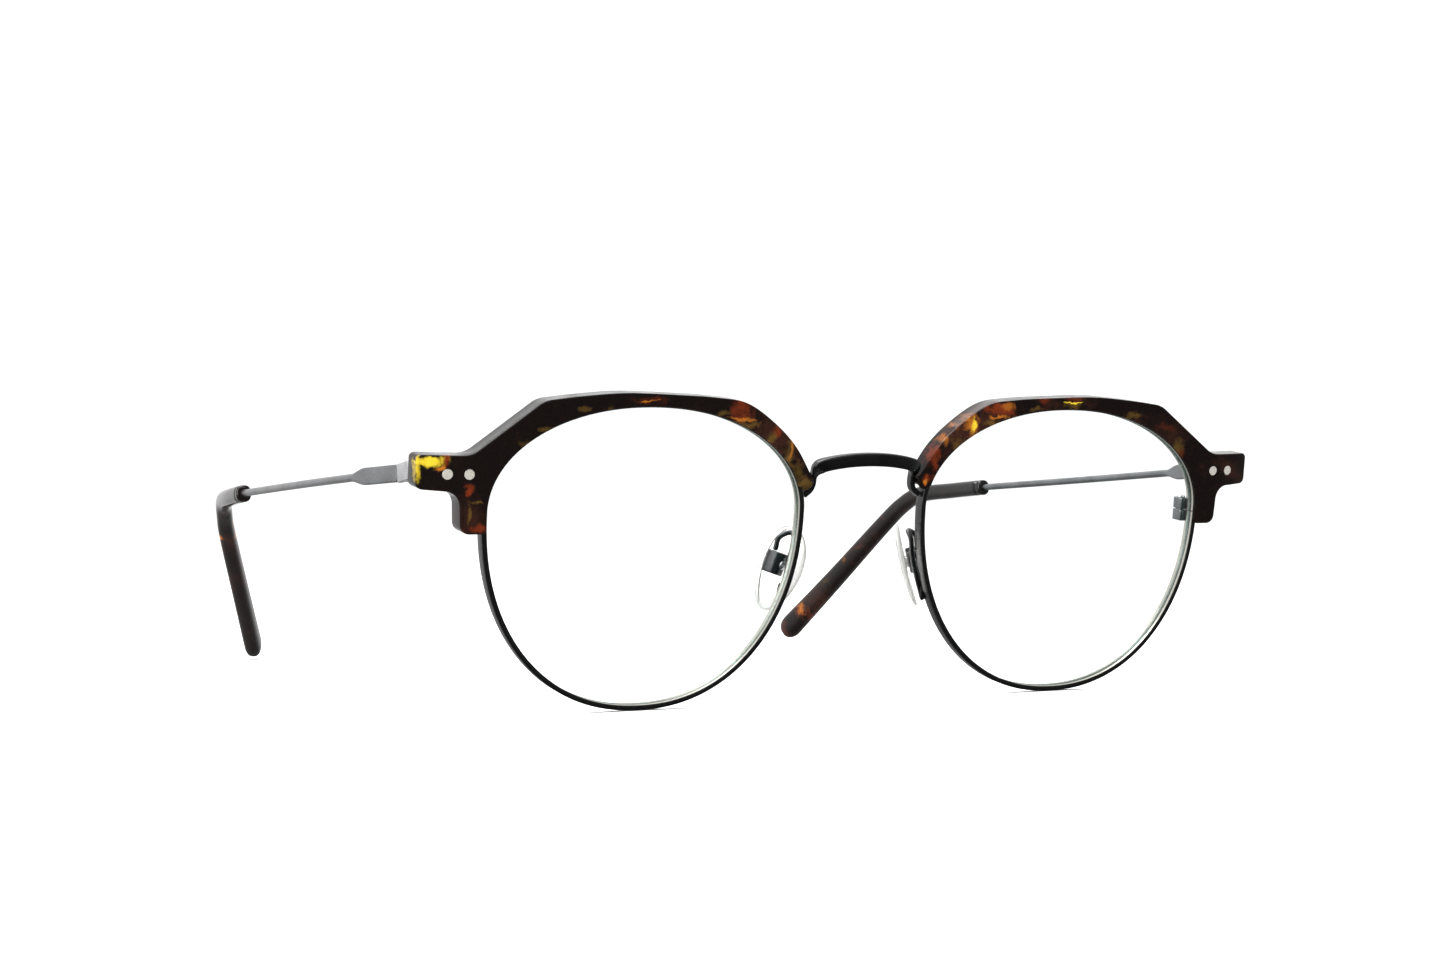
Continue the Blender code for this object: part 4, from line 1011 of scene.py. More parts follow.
BROW_PATCHES = {
    "left": (
        (-16.0, 40.5, 7.5, 4.0, "brown", 0.55), (-63.0, 29.0, 2.2, 3.4, "brown", 0.3),
        (-69.0, 36.95, 2.5, 0.6, "yellow", 0.85), (-70.6, 36.0, 0.5, 1.9, "yellow", 0.55),
        (-66.6, 37.0, 0.5, 0.8, "red", 1.0), (-67.3, 36.0, 0.7, 0.35, "amber", 0.9),
        (-63.0, 32.7, 0.55, 0.95, "red", 1.0), (-62.1, 27.3, 1.3, 0.5, "red", 0.8),
        (-62.0, 30.9, 1.0, 0.22, "olive", 0.9), (-63.1, 29.3, 0.22, 1.3, "olive", 0.7),
        (-52.2, 41.5, 1.4, 0.4, "olive", 0.55), (-55.0, 39.4, 1.0, 0.4, "olive", 0.3),
        (-46.3, 44.3, 1.0, 0.4, "olive", 0.45), (-42.5, 44.6, 0.8, 0.3, "olive", 0.4),
        (-36.2, 45.6, 2.6, 0.6, "red", 0.25), (-36.4, 45.5, 1.7, 0.14, "amber", 0.9),
        (-21.6, 44.6, 1.6, 1.9, "red", 0.75), (-21.3, 43.0, 1.9, 0.22, "amber", 0.7),
        (-24.3, 43.8, 1.1, 0.4, "olive", 0.6), (-20.4, 42.3, 1.8, 0.5, "olive", 0.75),
        (-15.6, 41.4, 0.8, 1.0, "red", 0.8), (-16.4, 40.1, 0.7, 1.3, "olive", 0.8),
        (-13.3, 37.4, 0.8, 2.2, "olive", 0.75), (-11.8, 35.2, 0.8, 1.6, "olive", 0.5),
        (-13.1, 38.3, 0.22, 1.1, "amber", 0.5), (-10.4, 33.4, 1.4, 1.0, "olive", 0.75),
    ),
    "right": (
        (18.0, 41.5, 9.0, 5.0, "brown", 0.65), (54.0, 41.0, 5.0, 3.0, "brown", 0.2),
        (11.6, 37.6, 1.0, 2.6, "red", 0.7), (13.2, 40.6, 0.5, 1.6, "amber", 0.45),
        (10.2, 34.3, 0.7, 0.9, "red", 0.9), (10.2, 33.6, 0.3, 0.5, "amber", 0.9),
        (15.6, 39.0, 1.4, 1.5, "olive", 0.6), (17.5, 42.4, 1.1, 1.7, "amber", 0.75),
        (17.8, 42.2, 0.45, 1.2, "yellow", 0.95), (15.2, 42.4, 0.8, 0.8, "amber", 0.45),
        (22.6, 44.6, 2.6, 0.9, "red", 0.95), (24.0, 44.9, 1.4, 0.4, "amber", 0.45),
        (22.6, 43.5, 1.5, 0.3, "amber", 0.85), (21.4, 42.6, 1.6, 0.5, "olive", 0.85),
        (28.8, 44.9, 1.2, 0.4, "olive", 0.6), (30.6, 46.2, 1.6, 0.6, "red", 0.5),
        (35.6, 45.2, 1.6, 0.5, "olive", 0.65), (35.7, 45.6, 1.7, 0.13, "yellow", 0.9),
        (35.8, 46.4, 1.8, 0.6, "red", 0.5), (47.1, 43.9, 1.4, 0.6, "olive", 0.55),
        (56.2, 38.7, 0.9, 1.6, "olive", 0.55), (56.6, 37.6, 0.6, 0.9, "red", 0.4),
        (53.2, 42.0, 1.5, 0.8, "red", 0.2),
    ),
}


class EYEGLASSES_OT_brows(bpy.types.Operator):
    """Add the tortoiseshell brows"""

    bl_idname = "eyeglasses.brows"
    bl_label = "Brows"

    def execute(self, context):
        settings = context.scene.eyeglasses.acetate
        rings = brow_rings(settings.front_rounding / MM, settings.rear_rounding / MM)
        shells = [brow_shell(rings)]
        for side in (1, -1):
            name = side_name(side)
            patches = front_patches(BROW_PATCHES[name])
            finish = acetate_finish(f"tortoiseshell_brow_{name}", settings, patches, settings.gloss)
            make_piece(
                f"brow_{name}_acetate", shells, finish, "front",
                side, [f"brow_{name}"], sharp=40,
            )
        return {"FINISHED"}


# ---------------------------------------------------------------- rivets and end strips


def laid_forwards(rings, x):
    """A turned piece where a rivet goes: laid along the front's depth, its top forwards."""
    across, up, height = np.moveaxis(rings, -1, 0)
    return np.stack([x + across, BROW_FRONT - height, RIVET_LEVEL + up], axis=-1)


def rivet_rings():
    """A flush head a hair proud of the brow, a shank, and a tail behind the strip."""
    back = BROW_FRONT - STRIP_FRONT - STRIP_THICKNESS - FIT_GAP
    end = back - RIVET_TAIL
    head = head_profile(0, RIVET_PROUD, RIVET_HEAD_R, RIVET_SHANK_TOP)
    tail = [
        (end, AXIS_R), (end, RIVET_HEAD_R * 0.7), (back - 0.2, RIVET_HEAD_R * 0.95),
        (back, RIVET_HEAD_R), (back + 0.01, RIVET_SHANK_R),
        (-RIVET_SHANK_TOP - 0.01, RIVET_SHANK_R),
    ]
    return turned(tail + head)


class EYEGLASSES_OT_rivets(bpy.types.Operator):
    """Add the rivets through the end blocks"""

    bl_idname = "eyeglasses.rivets"
    bl_label = "Rivets"

    def execute(self, context):
        finish = bright_metal(context.scene.eyeglasses.metal)
        rings = rivet_rings()
        values = {"turn": np.hypot(rings[..., 0], rings[..., 1]).ravel()}
        rows = []
        for place, x in RIVET_X.items():
            shells = [skin(from_front(curved_back(laid_forwards(rings, x))))]
            node = f"rivet_{place}_{{}}"
            rows.append((f"{node}_turned", shells, finish, "front", "silver", node, values))
        make_sides(*rows)
        return {"FINISHED"}


def end_strip_rings():
    """A flat strip carried behind the end block, round a bend and back to the hinge gap."""
    middle = STRIP_FRONT + STRIP_THICKNESS / 2
    outer = FRONT_HALF_WIDTH - 0.2 - STRIP_THICKNESS / 2
    inner_face = outer - STRIP_THICKNESS / 2
    fall = (HINGE_BACK - STRIP_FRONT) * math.tan(FRONT_LEAN + TEMPLE_DROP)
    end = HINGE_BACK - 0.15 - (inner_face - CURVE_START) ** 2 / (2 * CURVE_RADIUS)
    turn = np.linspace(-math.pi / 2, 0, 14)
    bend_x = outer - STRIP_BEND_R + STRIP_BEND_R * np.cos(turn)
    bend_y = middle + STRIP_BEND_R + STRIP_BEND_R * np.sin(turn)
    start_x = np.linspace(RIVET_X["inner"] - 1.4, outer - STRIP_BEND_R, 12)[:-1]
    end_y = np.linspace(middle + STRIP_BEND_R, end, 10)[1:]
    x = np.concatenate([start_x, bend_x, np.full(len(end_y), outer)])
    y = np.concatenate([np.full(len(start_x), middle), bend_y, end_y])
    path = np.stack([x, y, RIVET_LEVEL - fall * (y - middle) / (end - middle)], axis=-1)
    section = rounded_section(STRIP_THICKNESS / 2, STRIP_HEIGHT / 2, 0.22)
    rings = with_round_ends(carried(path, section, (0, 0, 1)), 0.1, 3)
    return curved_back(rings, inner_face)


class EYEGLASSES_OT_end_strips(bpy.types.Operator):
    """Add the metal strips from the end blocks to the hinges"""

    bl_idname = "eyeglasses.end_strips"
    bl_label = "End Strips"

    def execute(self, context):
        finish = pale_gunmetal(context.scene.eyeglasses.metal)
        shells = [skin(from_front(end_strip_rings()))]
        make_sides(("end_strip_{}_metal", shells, finish, "front", "gunmetal", "end_strip_{}"))
        return {"FINISHED"}


# ---------------------------------------------------------------- clasps


def clasp_place():
    """Middle of the clasp: behind the eyewire, its outer face just inside the wire's."""
    outer = lens_edge(edge_angle(CLASP_LEVEL), WIRE_RADIAL - 0.15)[0]
    return np.array((outer - CLASP_WIDTH / 2, WIRE_DEPTH + FIT_GAP + CLASP_DEPTH / 2, CLASP_LEVEL))


class EYEGLASSES_OT_clasps(bpy.types.Operator):
    """Add the screwed clasps that close the eyewires"""

    bl_idname = "eyeglasses.clasps"
    bl_label = "Clasps"

    def execute(self, context):
        metal = context.scene.eyeglasses.metal
        middle = clasp_place()
        outline = rounded_section(CLASP_WIDTH / 2, CLASP_DEPTH / 2, 0.35, 6)
        near = CLASP_SLIT / 2
        top = near + CLASP_HEIGHT
        rows = []
        for level, low, high in (("upper", near, top), ("lower", -top, -near)):
            shells = [skin(from_front(prism(outline, low, high, 0.12) + middle))]
            node = f"closing_block_{level}_{{}}"
            rows.append((f"{node}_metal", shells, gunmetal(metal), "front", "gunmetal", node))
        screw = slotted_head(top + FIT_GAP, *CLASP_HEAD), shaft_rings(-top, top + 0.1, SCREW_R)
        shells = [skin(from_front(rings + middle)) for rings in screw]
        node = "closing_screw_{}"
        rows.append((f"{node}_slotted", shells, pale_gunmetal(metal), "front", "gunmetal", node))
        make_sides(*rows)
        return {"FINISHED"}


# ---------------------------------------------------------------- bridge


def bridge_rings():
    """An arched bar: a smooth path over the nose, whose section slims to a foot at each end."""
    beside = lens_edge(NOSE_ANGLE, BROW_WIDTHS[-1][1])
    foot_level = beside[1] - BRIDGE_FOOT_LENGTH
    beside_x = beside[0] - BRIDGE_FOOT[0] / 2 - 0.12
    foot_x = lens_edge(edge_angle(foot_level, False), WIRE_RADIAL + FIT_GAP)[0]
    half = np.array([
        (foot_x - BRIDGE_FOOT[0] / 2, WIRE_DEPTH * 0.6, foot_level),
        (beside_x + 0.35, WIRE_DEPTH * 0.6, foot_level + 0.8),
        (beside_x, 1.1, foot_level + 1.7),
        (beside_x - 0.05, 0.9, foot_level + 2.9),
        (beside_x - 0.3, 0.1, BRIDGE_LEVEL - 0.7),
        (beside_x - 1.3, -0.7, BRIDGE_LEVEL),
        (beside_x * 0.45, -1.1, BRIDGE_LEVEL + BRIDGE_RISE * 0.75),
    ])
    crown = np.array([(0, -1.2, BRIDGE_LEVEL + BRIDGE_RISE)])
    path = smooth_line(np.vstack([half, crown, half[::-1] * (-1, 1, 1)]), 12)
    drop = (BRIDGE_LEVEL - path[:, 2]) / (BRIDGE_LEVEL - foot_level)
    slim = np.clip((drop - 0.05) * 3, 0, 1)[:, None]
    slim = slim * slim * (3 - 2 * slim)
    size = (BRIDGE_BAR * (1 - slim) + BRIDGE_FOOT * slim) / 2
    unit = rounded_section(1, 1, 0.42, 6)
    sections = unit[None] * size[:, None, :]
    return with_round_ends(carried(path, sections, (0, 1, 0)), 0.12, 4)


class EYEGLASSES_OT_bridge(bpy.types.Operator):
    """Add the arched bridge"""

    bl_idname = "eyeglasses.bridge"
    bl_label = "Bridge"

    def execute(self, context):
        finish = black_metal(context.scene.eyeglasses.metal)
        shell = skin(from_front(bridge_rings()))
        make_piece("bridge_bar", [shell], finish, "front", 1, ["bridge"])
        return {"FINISHED"}


# ---------------------------------------------------------------- nose pads


def pad_rings():
    """A pebble with a full edge, bowed along its length.

    share = |cos t|^0.55 and thickness = sign t |sin t|^0.75 for t from -90 to 90 degrees, the
    outline is an oval that widens upwards, and the bow grows with the square of the height.
    """
    turn = np.linspace(-math.pi / 2 * 0.995, math.pi / 2 * 0.995, 25)[:, None]
    angle = full_turn(96)[None]
    share = np.cos(turn) ** 0.55
    x = share * PAD_WIDTH / 2 * np.cos(angle) * (1 + 0.1 * np.sin(angle))
    z = share * PAD_HEIGHT / 2 * np.sin(angle)
    thick = signed_power(np.sin(turn), 0.75)
    y = PAD_THICKNESS / 2 * thick + PAD_BOW * (z / PAD_HEIGHT * 2) ** 2
    # Painted shade: the share of the outline's edge that the finish greys.
    rim = np.clip((share - 0.9) / 0.09, 0, 1) * np.ones_like(angle)
    return np.stack([x, y, z], axis=-1), {"rim": rim.ravel()}


def pad_box_rings():
    """A forked block: a U outline, open towards the nose, between two rounded ends."""
    front = PAD_BOX_FRONT
    back = front + PAD_BOX_DEPTH
    deep = PAD_SCREW_BACK + 0.75
    half = PAD_BOX_WIDTH / 2
    slot = PAD_SLOT_HALF
    outline = rounded_corners([
        (-half, front, 0.38), (-slot, front, 0.1), (-slot, deep, 0.2), (slot, deep, 0.2),
        (slot, front, 0.1), (half, front, 0.38), (half, back, 1.0), (-half, back, 1.0),
    ], 7)
    return prism(
        outline, PAD_BOX_LIFT - PAD_BOX_HEIGHT / 2, PAD_BOX_LIFT + PAD_BOX_HEIGHT / 2, 0.26, steps=6
    )


def pad_stem_rings():
    """The flat tongue between the fork's cheeks, rooted in the pad."""
    half = (PAD_SCREW_BACK + 0.45) / 2
    outline = rounded_section(PAD_STEM_HALF, half, 0.12) + np.array((0, half + 0.1))
    return prism(outline, PAD_BOX_LIFT - 0.8, PAD_BOX_LIFT + 0.8, 0.12)


def along_pad_screw(rings):
    """Turned about the up axis, laid along the pad's width through the fork."""
    x, y, z = np.moveaxis(rings, -1, 0)
    return np.stack([z, PAD_SCREW_BACK + y, PAD_BOX_LIFT - x], axis=-1)


def pad_arm_rings():
    """Round wire from the back of the eyewire, over a loop and down to the top of the box."""
    path = []
    for level, depth in PAD_ARM_ON_WIRE:
        across, up = lens_edge(edge_angle(level, False), PAD_ARM_OFFSET)
        path.append((across, depth, up))
    box_top = PAD_CENTRE + np.array((
        0, PAD_BOX_FRONT + PAD_BOX_DEPTH - PAD_ARM_R, PAD_BOX_LIFT + PAD_BOX_HEIGHT / 2 + FIT_GAP,
    )) @ pad_axes()
    path.append(PAD_ARM_LOOP_TOP + (0, -1.0, -1.2))
    path.append(PAD_ARM_LOOP_TOP)
    path.append(box_top + (-0.5, -0.1, 2.0))
    path.append(box_top + (0, 0, 0.3))
    path = smooth_line(path, 14)
    rings = carried(path, round_section(PAD_ARM_R, 28), (1, 0, 0))
    return with_round_ends(rings, 0.3, 5)


def solder_rings():
    """A drop of solder: an ellipsoid stretched up the wire where the arm's foot meets it."""
    across, up = lens_edge(edge_angle(SOLDER_LEVEL, False), 0.6)
    wide, deep, high = SOLDER_HALF
    turn = np.linspace(-math.pi / 2 * 0.98, math.pi / 2 * 0.98, 17)[:, None]
    angle = full_turn(32)[None]
    ring = np.stack([
        wide * np.cos(turn) * np.cos(angle), deep * np.cos(turn) * np.sin(angle),
        high * np.sin(turn) * np.ones_like(angle),
    ], axis=-1)
    return ring + (across, SOLDER_BACK, up)


class EYEGLASSES_OT_nose_pads(bpy.types.Operator):
    """Add the nose pads, their boxes, screws and arms"""

    bl_idname = "eyeglasses.nose_pads"
    bl_label = "Nose Pads"

    def execute(self, context):
        metal = context.scene.eyeglasses.metal
        clear = pad_finish()
        half = PAD_BOX_WIDTH / 2
        screw = slotted_head(half + FIT_GAP, *PAD_HEAD), shaft_rings(-half - 0.05, half, SCREW_R)
        pebble, rim = pad_rings()
        box = [skin(from_pad(pad_box_rings()))]
        arm = [skin(from_front(pad_arm_rings()))]
        solder = [skin(from_front(solder_rings()))]
        screws = [skin(from_pad(along_pad_screw(rings))) for rings in screw]
        pad = [skin(from_pad(pebble))]
        stem = [skin(from_pad(pad_stem_rings()))]
        black = black_metal(metal)
        pale = pale_gunmetal(metal)
        make_sides(
            ("pad_box_{}_fork", box, black, "front", "gunmetal", "pad_box_{}"),
            ("pad_arm_{}_wire", arm, black, "front", "gunmetal", "pad_arm_{}"),
            ("pad_arm_{}_solder", solder, black, "front", "gunmetal"),
            ("pad_screw_{}_slotted", screws, pale, "front", "silver", "pad_screw_{}"),
            ("nose_pad_{}_clear", pad, clear, "pad_{}", "pad", "nose_pad_{}", rim),
            ("nose_pad_{}_stem", stem, pale, "pad_{}", "gunmetal"),
        )
        return {"FINISHED"}


# ---------------------------------------------------------------- hinges


def knuckle_outline(direction):
    """Plan of a knuckle and its leaf: an arc of the knuckle's radius with a straight tail."""
    inner = LEAF_OUTER - LEAF_THICKNESS
    end = direction * LEAF_LENGTH
    meet = direction * math.sqrt(KNUCKLE_R**2 - inner**2)
    turn = math.atan2(meet, inner) - direction * 2 * math.pi
    angles = np.linspace(0, turn, 33)
    arc = KNUCKLE_R * np.stack([np.cos(angles), np.sin(angles)], axis=-1)
    tail = np.array([(inner, meet * 1.3), (inner, end), (LEAF_OUTER, end), (LEAF_OUTER, 0)])
    return np.vstack([arc, tail])


def leaf_plate(direction, half):
    """The leaf alone, from clear of the other leaf's knuckles to its end."""
    start = direction * (KNUCKLE_R + 0.2)
    end = direction * LEAF_LENGTH
    middle = (LEAF_OUTER - LEAF_THICKNESS / 2, (start + end) / 2)
    outline = rounded_section(LEAF_THICKNESS / 2, abs(end - start) / 2, 0.1)
    return prism(outline + middle, -half, half, LEAF_ROUNDING)


class EYEGLASSES_OT_hinges(bpy.types.Operator):
    """Add the hinge leaves and their screws"""

    bl_idname = "eyeglasses.hinges"
    bl_label = "Hinges"

    def execute(self, context):
        metal = context.scene.eyeglasses.metal
        low = MIDDLE_KNUCKLE_HALF + HINGE_GAP
        top = low + KNUCKLE_HEIGHT
        front_outline = knuckle_outline(-1)
        front = [
            prism(front_outline, low, top, LEAF_ROUNDING),
            prism(front_outline, -top, -low, LEAF_ROUNDING), leaf_plate(-1, top - 0.3),
        ]
        half = MIDDLE_KNUCKLE_HALF
        middle = prism(knuckle_outline(1), -half, half, LEAF_ROUNDING)
        back = [middle, leaf_plate(1, BLADE_HEIGHT / 2 - 0.1)]
        pin = turned([
            (-top - 0.15, AXIS_R), (-top - 0.15, PIN_R * 0.75), (-top, PIN_R), (top + 0.1, PIN_R),
            (top + 0.1, AXIS_R),
        ])
        leaf = [skin(from_hinge(rings)) for rings in front]
        swung = [skin(from_hinge(splayed(rings))) for rings in back]
        screw = [skin(from_hinge(rings)) for rings in (slotted_head(top + FIT_GAP, *PIN_HEAD), pin)]
        grey = gunmetal(metal)
        pale = pale_gunmetal(metal)
        make_sides(
            ("hinge_front_{}_leaf", leaf, grey, "front", "gunmetal", "hinge_front_{}"),
            ("hinge_temple_{}_leaf", swung, grey, "temple_{}", "gunmetal", "hinge_temple_{}"),
            ("hinge_screw_{}_slotted", screw, pale, "front", "silver", "hinge_screw_{}"),
        )
        return {"FINISHED"}


# ---------------------------------------------------------------- temples and tips


def tip_points():
    """The sleeve's route: along the wire, over the ear bend, then down, back and inwards."""
    start = np.array((WIRE_BOW_X - 0.6, TIP_START, 0))
    bend = np.array((WIRE_BOW_X - 2.7, TEMPLE_STRAIGHT, -0.6))
    between = (start + bend) / 2 + (0.35, 0, 0.1)
    down = np.array(((0.09, 0.15, 0.07), (0.22, 0.3, 0.21), (0.6, 0.64, 0.6), (1, 1, 1)))
    tail = bend + down * (-TIP_INWARD, TIP_BACK, -TIP_DROP)
    return np.vstack([start, between, bend, tail])


def temple_path():
    """A straight splayed blade, then one smooth curve through the wire's bow into the tip."""
    blade_y = np.linspace(BLADE_START, BLADE_LENGTH + FLARE_LENGTH, 60)
    blade = splayed(np.stack([np.full(60, BLADE_MIDDLE_X), blade_y, np.zeros(60)], axis=-1))
    wire = np.array([(WIRE_BOW_X, TEMPLE_STRAIGHT * share, 0) for share in (0.36, 0.56)])
    curve = smooth_line(np.vstack([blade[-1:], wire, tip_points()]), 24)
    inside_tip = TIP_START + 5
    return blade_y, np.vstack([blade, curve[1:][curve[1:, 1] < inside_tip]])


def temple_rings():
    """The blade's section, blended by a smooth step into the round wire over the flare."""
    blade_y, path = temple_path()
    share = np.clip((blade_y - BLADE_LENGTH) / FLARE_LENGTH, 0, 1)
    share = share * share * (3 - 2 * share)
    share = np.concatenate([share, np.ones(len(path) - len(share))])[:, None, None]
    half = np.array((STRIP_THICKNESS / 2, BLADE_HEIGHT / 2))
    size = half * (1 - share) + WIRE_R * share
    unit = signed_power(round_section(1.0, 40), 2 / (7.0 * (1 - share) + 2.0 * share))
    rings = carried(path, unit * size, (0, 0, 1))
    return with_round_ends(rings, 0.12, 3)


def tip_rings():
    """A squared oval sleeve that grows towards its end, with a collar and a rounded end.

    The size is start + (end - start) t sideways and t^2 upwards. Over the first millimetres a
    collar swells and a groove follows it. Over the last ones the size falls as a half oval.
    """
    path = smooth_line(tip_points(), 26)
    gone = np.concatenate([[0], np.cumsum(np.linalg.norm(np.diff(path, axis=0), axis=1))])
    total = gone[-1]
    start = np.array((0, 0.06, 0.16, 0.3, 0.5, 0.8, 1.1, 1.3, 1.42, 1.52, 1.64, 1.8, 2.0, 2.3, 2.7))
    end = total - 3.4 * (1 - np.sin(np.linspace(0, math.pi / 2 * 0.99, 16)))
    place = np.concatenate([start, np.linspace(3.4, total - 3.7, 110), end])
    line = np.stack([np.interp(place, gone, path[:, i]) for i in range(3)], axis=-1)
    share = (place / total)[:, None]
    size = TIP_HALF + (TIP_END_HALF - TIP_HALF) * np.concatenate([share, share**2], axis=1)
    collar = np.interp(
        place, (0, 0.06, 0.16, 0.3, 0.5, 1.1, 1.3, 1.42, 1.52, 1.64, 1.8, 2.0, 2.3, 2.7),
        (0.62, 0.76, 0.87, 0.95, 0.99, 0.99, 0.96, 0.88, 0.84, 0.86, 0.93, 0.98, 1.0, 1.0),
    )
    close = np.clip((place - total + 3.4) / 3.4, 0, 1)
    fall = np.clip(1 - close**2.6, 0.0004, 1) ** 0.5
    section = round_section(1.0, 48, squareness=2.5)
    sections = section[None] * (size * (collar * fall)[:, None])[:, None, :]
    return carried(line, sections, (0, 0, 1))


def tip_patches(side):
    """Amber and red patches along the tip: (share along it, tone, half size, amount)."""
    path = smooth_line(tip_points(), 26)
    rows = {
        "right": (
            (0.99, "red", (3.0, 2.0, 2.0), 0.25), (0.9, "brown", (4.0, 5.0, 5.0), 0.35),
            (0.935, "red", (2.4, 2.4, 1.6), 0.6), (0.925, "amber", (2.0, 1.3, 1.4), 0.95),
            (0.84, "olive", (2.0, 1.2, 0.9), 0.6), (0.78, "amber", (2.0, 0.8, 0.5), 0.55),
            (0.74, "red", (2.0, 1.0, 0.7), 0.3), (0.64, "red", (2.0, 0.8, 0.4), 0.5),
        ),
        "left": (
            (1.0, "red", (3.2, 1.8, 1.6), 0.7), (0.66, "amber", (3.4, 1.0, 1.0), 0.95),
            (0.59, "amber", (3.4, 0.7, 0.6), 0.85), (0.8, "red", (1.6, 2.0, 1.0), 0.25),
        ),
    }
    patches = []
    for share, tone, radii, amount in rows[side_name(side)]:
        centre = from_hinge(path[int(share * (len(path) - 1))]) * (side, 1, 1)
        patches.append((centre, radii, tone, amount))
    return patches


class EYEGLASSES_OT_temples(bpy.types.Operator):
    """Add the metal temples"""

    bl_idname = "eyeglasses.temples"
    bl_label = "Temples"

    def execute(self, context):
        finish = gunmetal(context.scene.eyeglasses.metal)
        shells = [skin(from_hinge(temple_rings()))]
        make_sides(("temple_{}_metal", shells, finish, "temple_{}", "gunmetal", "temple_{}"))
        return {"FINISHED"}


class EYEGLASSES_OT_tips(bpy.types.Operator):
    """Add the acetate temple tips"""

    bl_idname = "eyeglasses.tips"
    bl_label = "Temple Tips"

    def execute(self, context):
        settings = context.scene.eyeglasses.acetate
        shell = skin(from_hinge(tip_rings()))
        for side in (1, -1):
            name = side_name(side)
            finish = acetate_finish(
                f"tortoiseshell_tip_{name}", settings, tip_patches(side), settings.tip_gloss
            )
            make_piece(
                f"temple_tip_{name}_acetate", [shell], finish, f"temple_{name}", side,
                [f"temple_tip_{name}"],
            )
        return {"FINISHED"}


# ---------------------------------------------------------------- stage


def white_surround(settings):
    """A white room. Gloss sees it shaded: dim ahead of the glasses and below, bright behind."""
    world = bpy.data.worlds.new("white_surround")
    world.use_nodes = True
    tree = world.node_tree
    way = add_node(tree, "ShaderNodeTexCoord").outputs["Generated"]
    parts = add_node(tree, "ShaderNodeSeparateXYZ", {0: way}).outputs
    ahead = ranged(tree, parts[1], -0.75, 0.6, settings.ahead, 1.0)
    below = ranged(tree, parts[2], -0.6, 0.1, 0.35, 1.0)
    seen = maths(tree, "MULTIPLY", ahead, below)
    gloss = add_node(tree, "ShaderNodeLightPath").outputs["Is Glossy Ray"]
    strength = add_node(
        tree, "ShaderNodeMix", {0: gloss, 2: settings.surround, 3: seen}, data_type="FLOAT"
    ).outputs[0]
    white = (1.0, 1.0, 1.0, 1.0)
    set_inputs(tree, tree.nodes["Background"], {"Color": white, "Strength": strength})
    return world


def add_area_light(name, place, size, power):
    light = bpy.data.lights.new(name, "AREA")
    light.shape = "RECTANGLE"
    light.size, light.size_y = size
    light.energy = power
    lamp = bpy.data.objects.new(name, light)
    lamp.location = place
    lamp.rotation_euler = (Vector(LIGHT_TARGET) - Vector(place)).to_track_quat("-Z", "Y").to_euler()
    bpy.context.scene.collection.objects.link(lamp)


def add_camera():
    """A long lens level with the glasses, turned about 25 degrees from their front.

    Its axes are its aim, the level line square to it, and their cross, the last two rolled.
    """
    level = math.cos(CAMERA_DIP)
    ahead = Vector((
        math.sin(CAMERA_TURN) * level, math.cos(CAMERA_TURN) * level, -math.sin(CAMERA_DIP)
    ))
    right = Vector((math.cos(CAMERA_TURN), -math.sin(CAMERA_TURN), 0))
    up = right.cross(ahead)
    rolled_right = math.cos(CAMERA_ROLL) * right + math.sin(CAMERA_ROLL) * up
    rolled_up = math.cos(CAMERA_ROLL) * up - math.sin(CAMERA_ROLL) * right
    camera = bpy.data.cameras.new("studio_camera")
    camera.sensor_width = 36.0
    camera.lens = CAMERA_LENS
    camera.clip_start = 0.01
    stand = bpy.data.objects.new("studio_camera", camera)
    axes = Matrix((rolled_right, rolled_up, -ahead)).transposed()
    stand.matrix_world = Matrix.Translation(CAMERA_PLACE) @ axes.to_4x4()
    bpy.context.scene.collection.objects.link(stand)
    bpy.context.scene.camera = stand


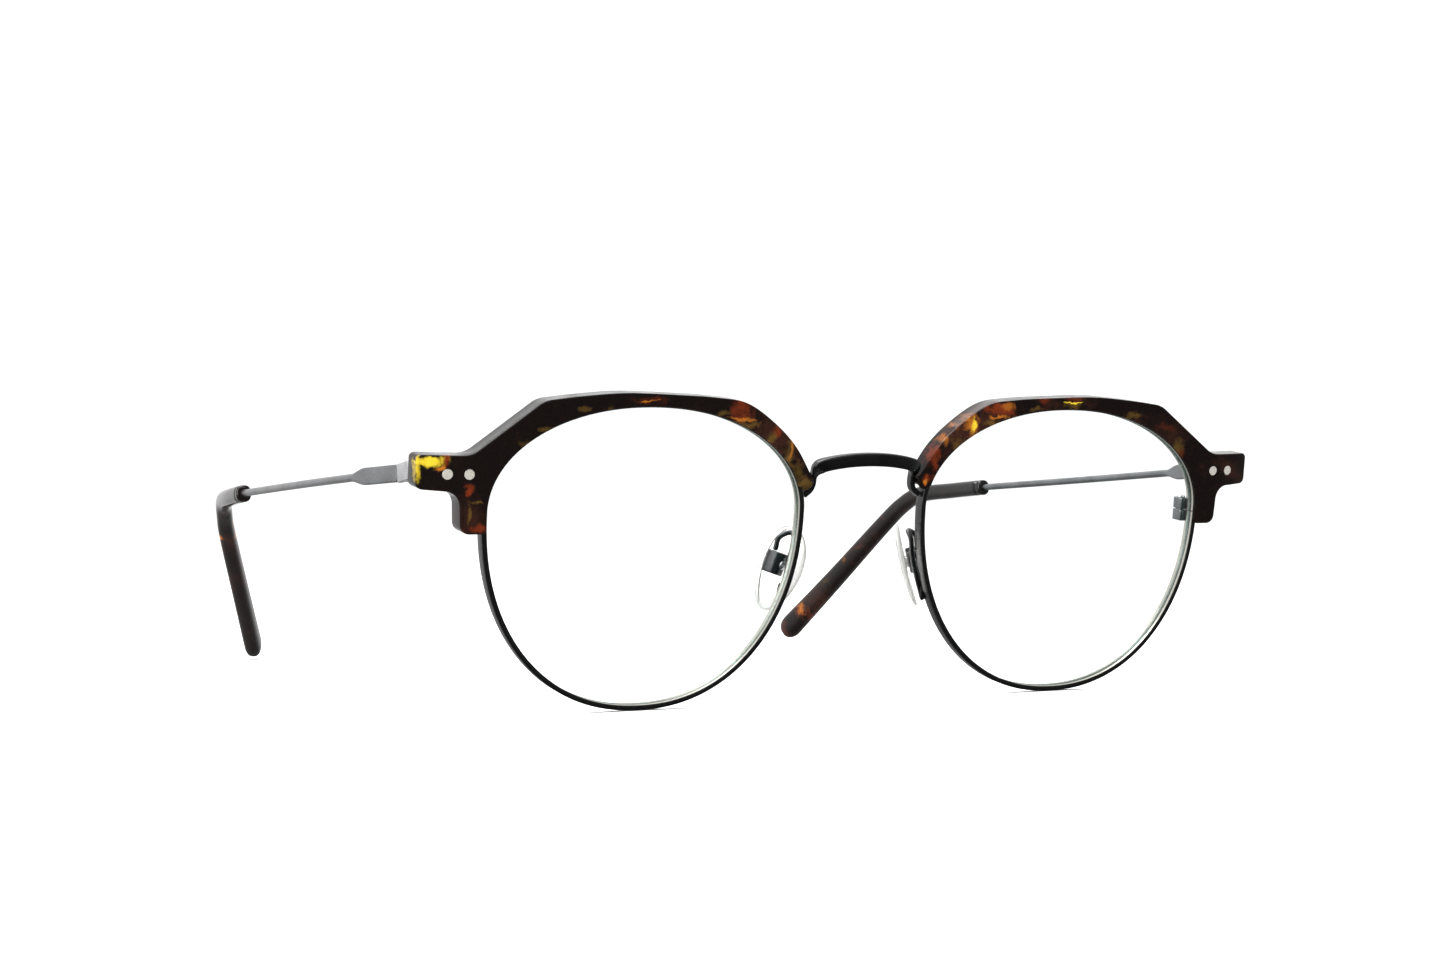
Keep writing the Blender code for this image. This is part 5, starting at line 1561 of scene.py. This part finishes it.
class EYEGLASSES_OT_stage(bpy.types.Operator):
    """Add the floor, the surround, the lights and the camera"""

    bl_idname = "eyeglasses.stage"
    bl_label = "Stage"

    def execute(self, context):
        settings = context.scene.eyeglasses.studio
        corners = np.array(((-1, -1, 0), (1, -1, 0), (1, 1, 0), (-1, 1, 0))) * FLOOR_REACH
        mesh = bpy.data.meshes.new("studio_floor")
        mesh.from_pydata(corners.tolist(), [], [(0, 1, 2, 3)])
        mesh.materials.append(floor_finish(settings))
        floor = bpy.data.objects.new("studio_floor", mesh)
        floor.location.z = -FLOOR_DROP
        context.scene.collection.objects.link(floor)
        floor.visible_glossy = False
        context.scene.world = white_surround(settings)
        for name, place, size, share in LIGHTS:
            add_area_light(name, place, size, settings.key * share)
        context.scene.view_settings.view_transform = "Standard"
        add_camera()
        return {"FINISHED"}


# ---------------------------------------------------------------- add-on


class EYEGLASSES_PT_panel(bpy.types.Panel):
    """Lists the steps that build the eyeglasses"""

    bl_idname = "EYEGLASSES_PT_panel"
    bl_label = "Eyeglasses"
    bl_space_type = "VIEW_3D"
    bl_region_type = "UI"
    bl_category = "Eyeglasses"

    def draw(self, context):
        for step in STEPS:
            self.layout.operator(step.bl_idname)


STEPS = (
    EYEGLASSES_OT_eyewires,
    EYEGLASSES_OT_lenses,
    EYEGLASSES_OT_brows,
    EYEGLASSES_OT_rivets,
    EYEGLASSES_OT_end_strips,
    EYEGLASSES_OT_clasps,
    EYEGLASSES_OT_bridge,
    EYEGLASSES_OT_nose_pads,
    EYEGLASSES_OT_hinges,
    EYEGLASSES_OT_temples,
    EYEGLASSES_OT_tips,
    EYEGLASSES_OT_stage,
)

CLASSES = (
    EyeglassMetal,
    EyeglassAcetate,
    EyeglassLens,
    EyeglassStudio,
    EyeglassSettings,
    *STEPS,
    EYEGLASSES_PT_panel,
)


def register():
    for item in CLASSES:
        bpy.utils.register_class(item)
    bpy.types.Scene.eyeglasses = PointerProperty(type=EyeglassSettings)


def unregister():
    del bpy.types.Scene.eyeglasses
    for item in reversed(CLASSES):
        bpy.utils.unregister_class(item)


def main():
    register()
    for step in STEPS:
        getattr(bpy.ops.eyeglasses, step.bl_idname.split(".")[1])()


if __name__ == "__main__":
    main()
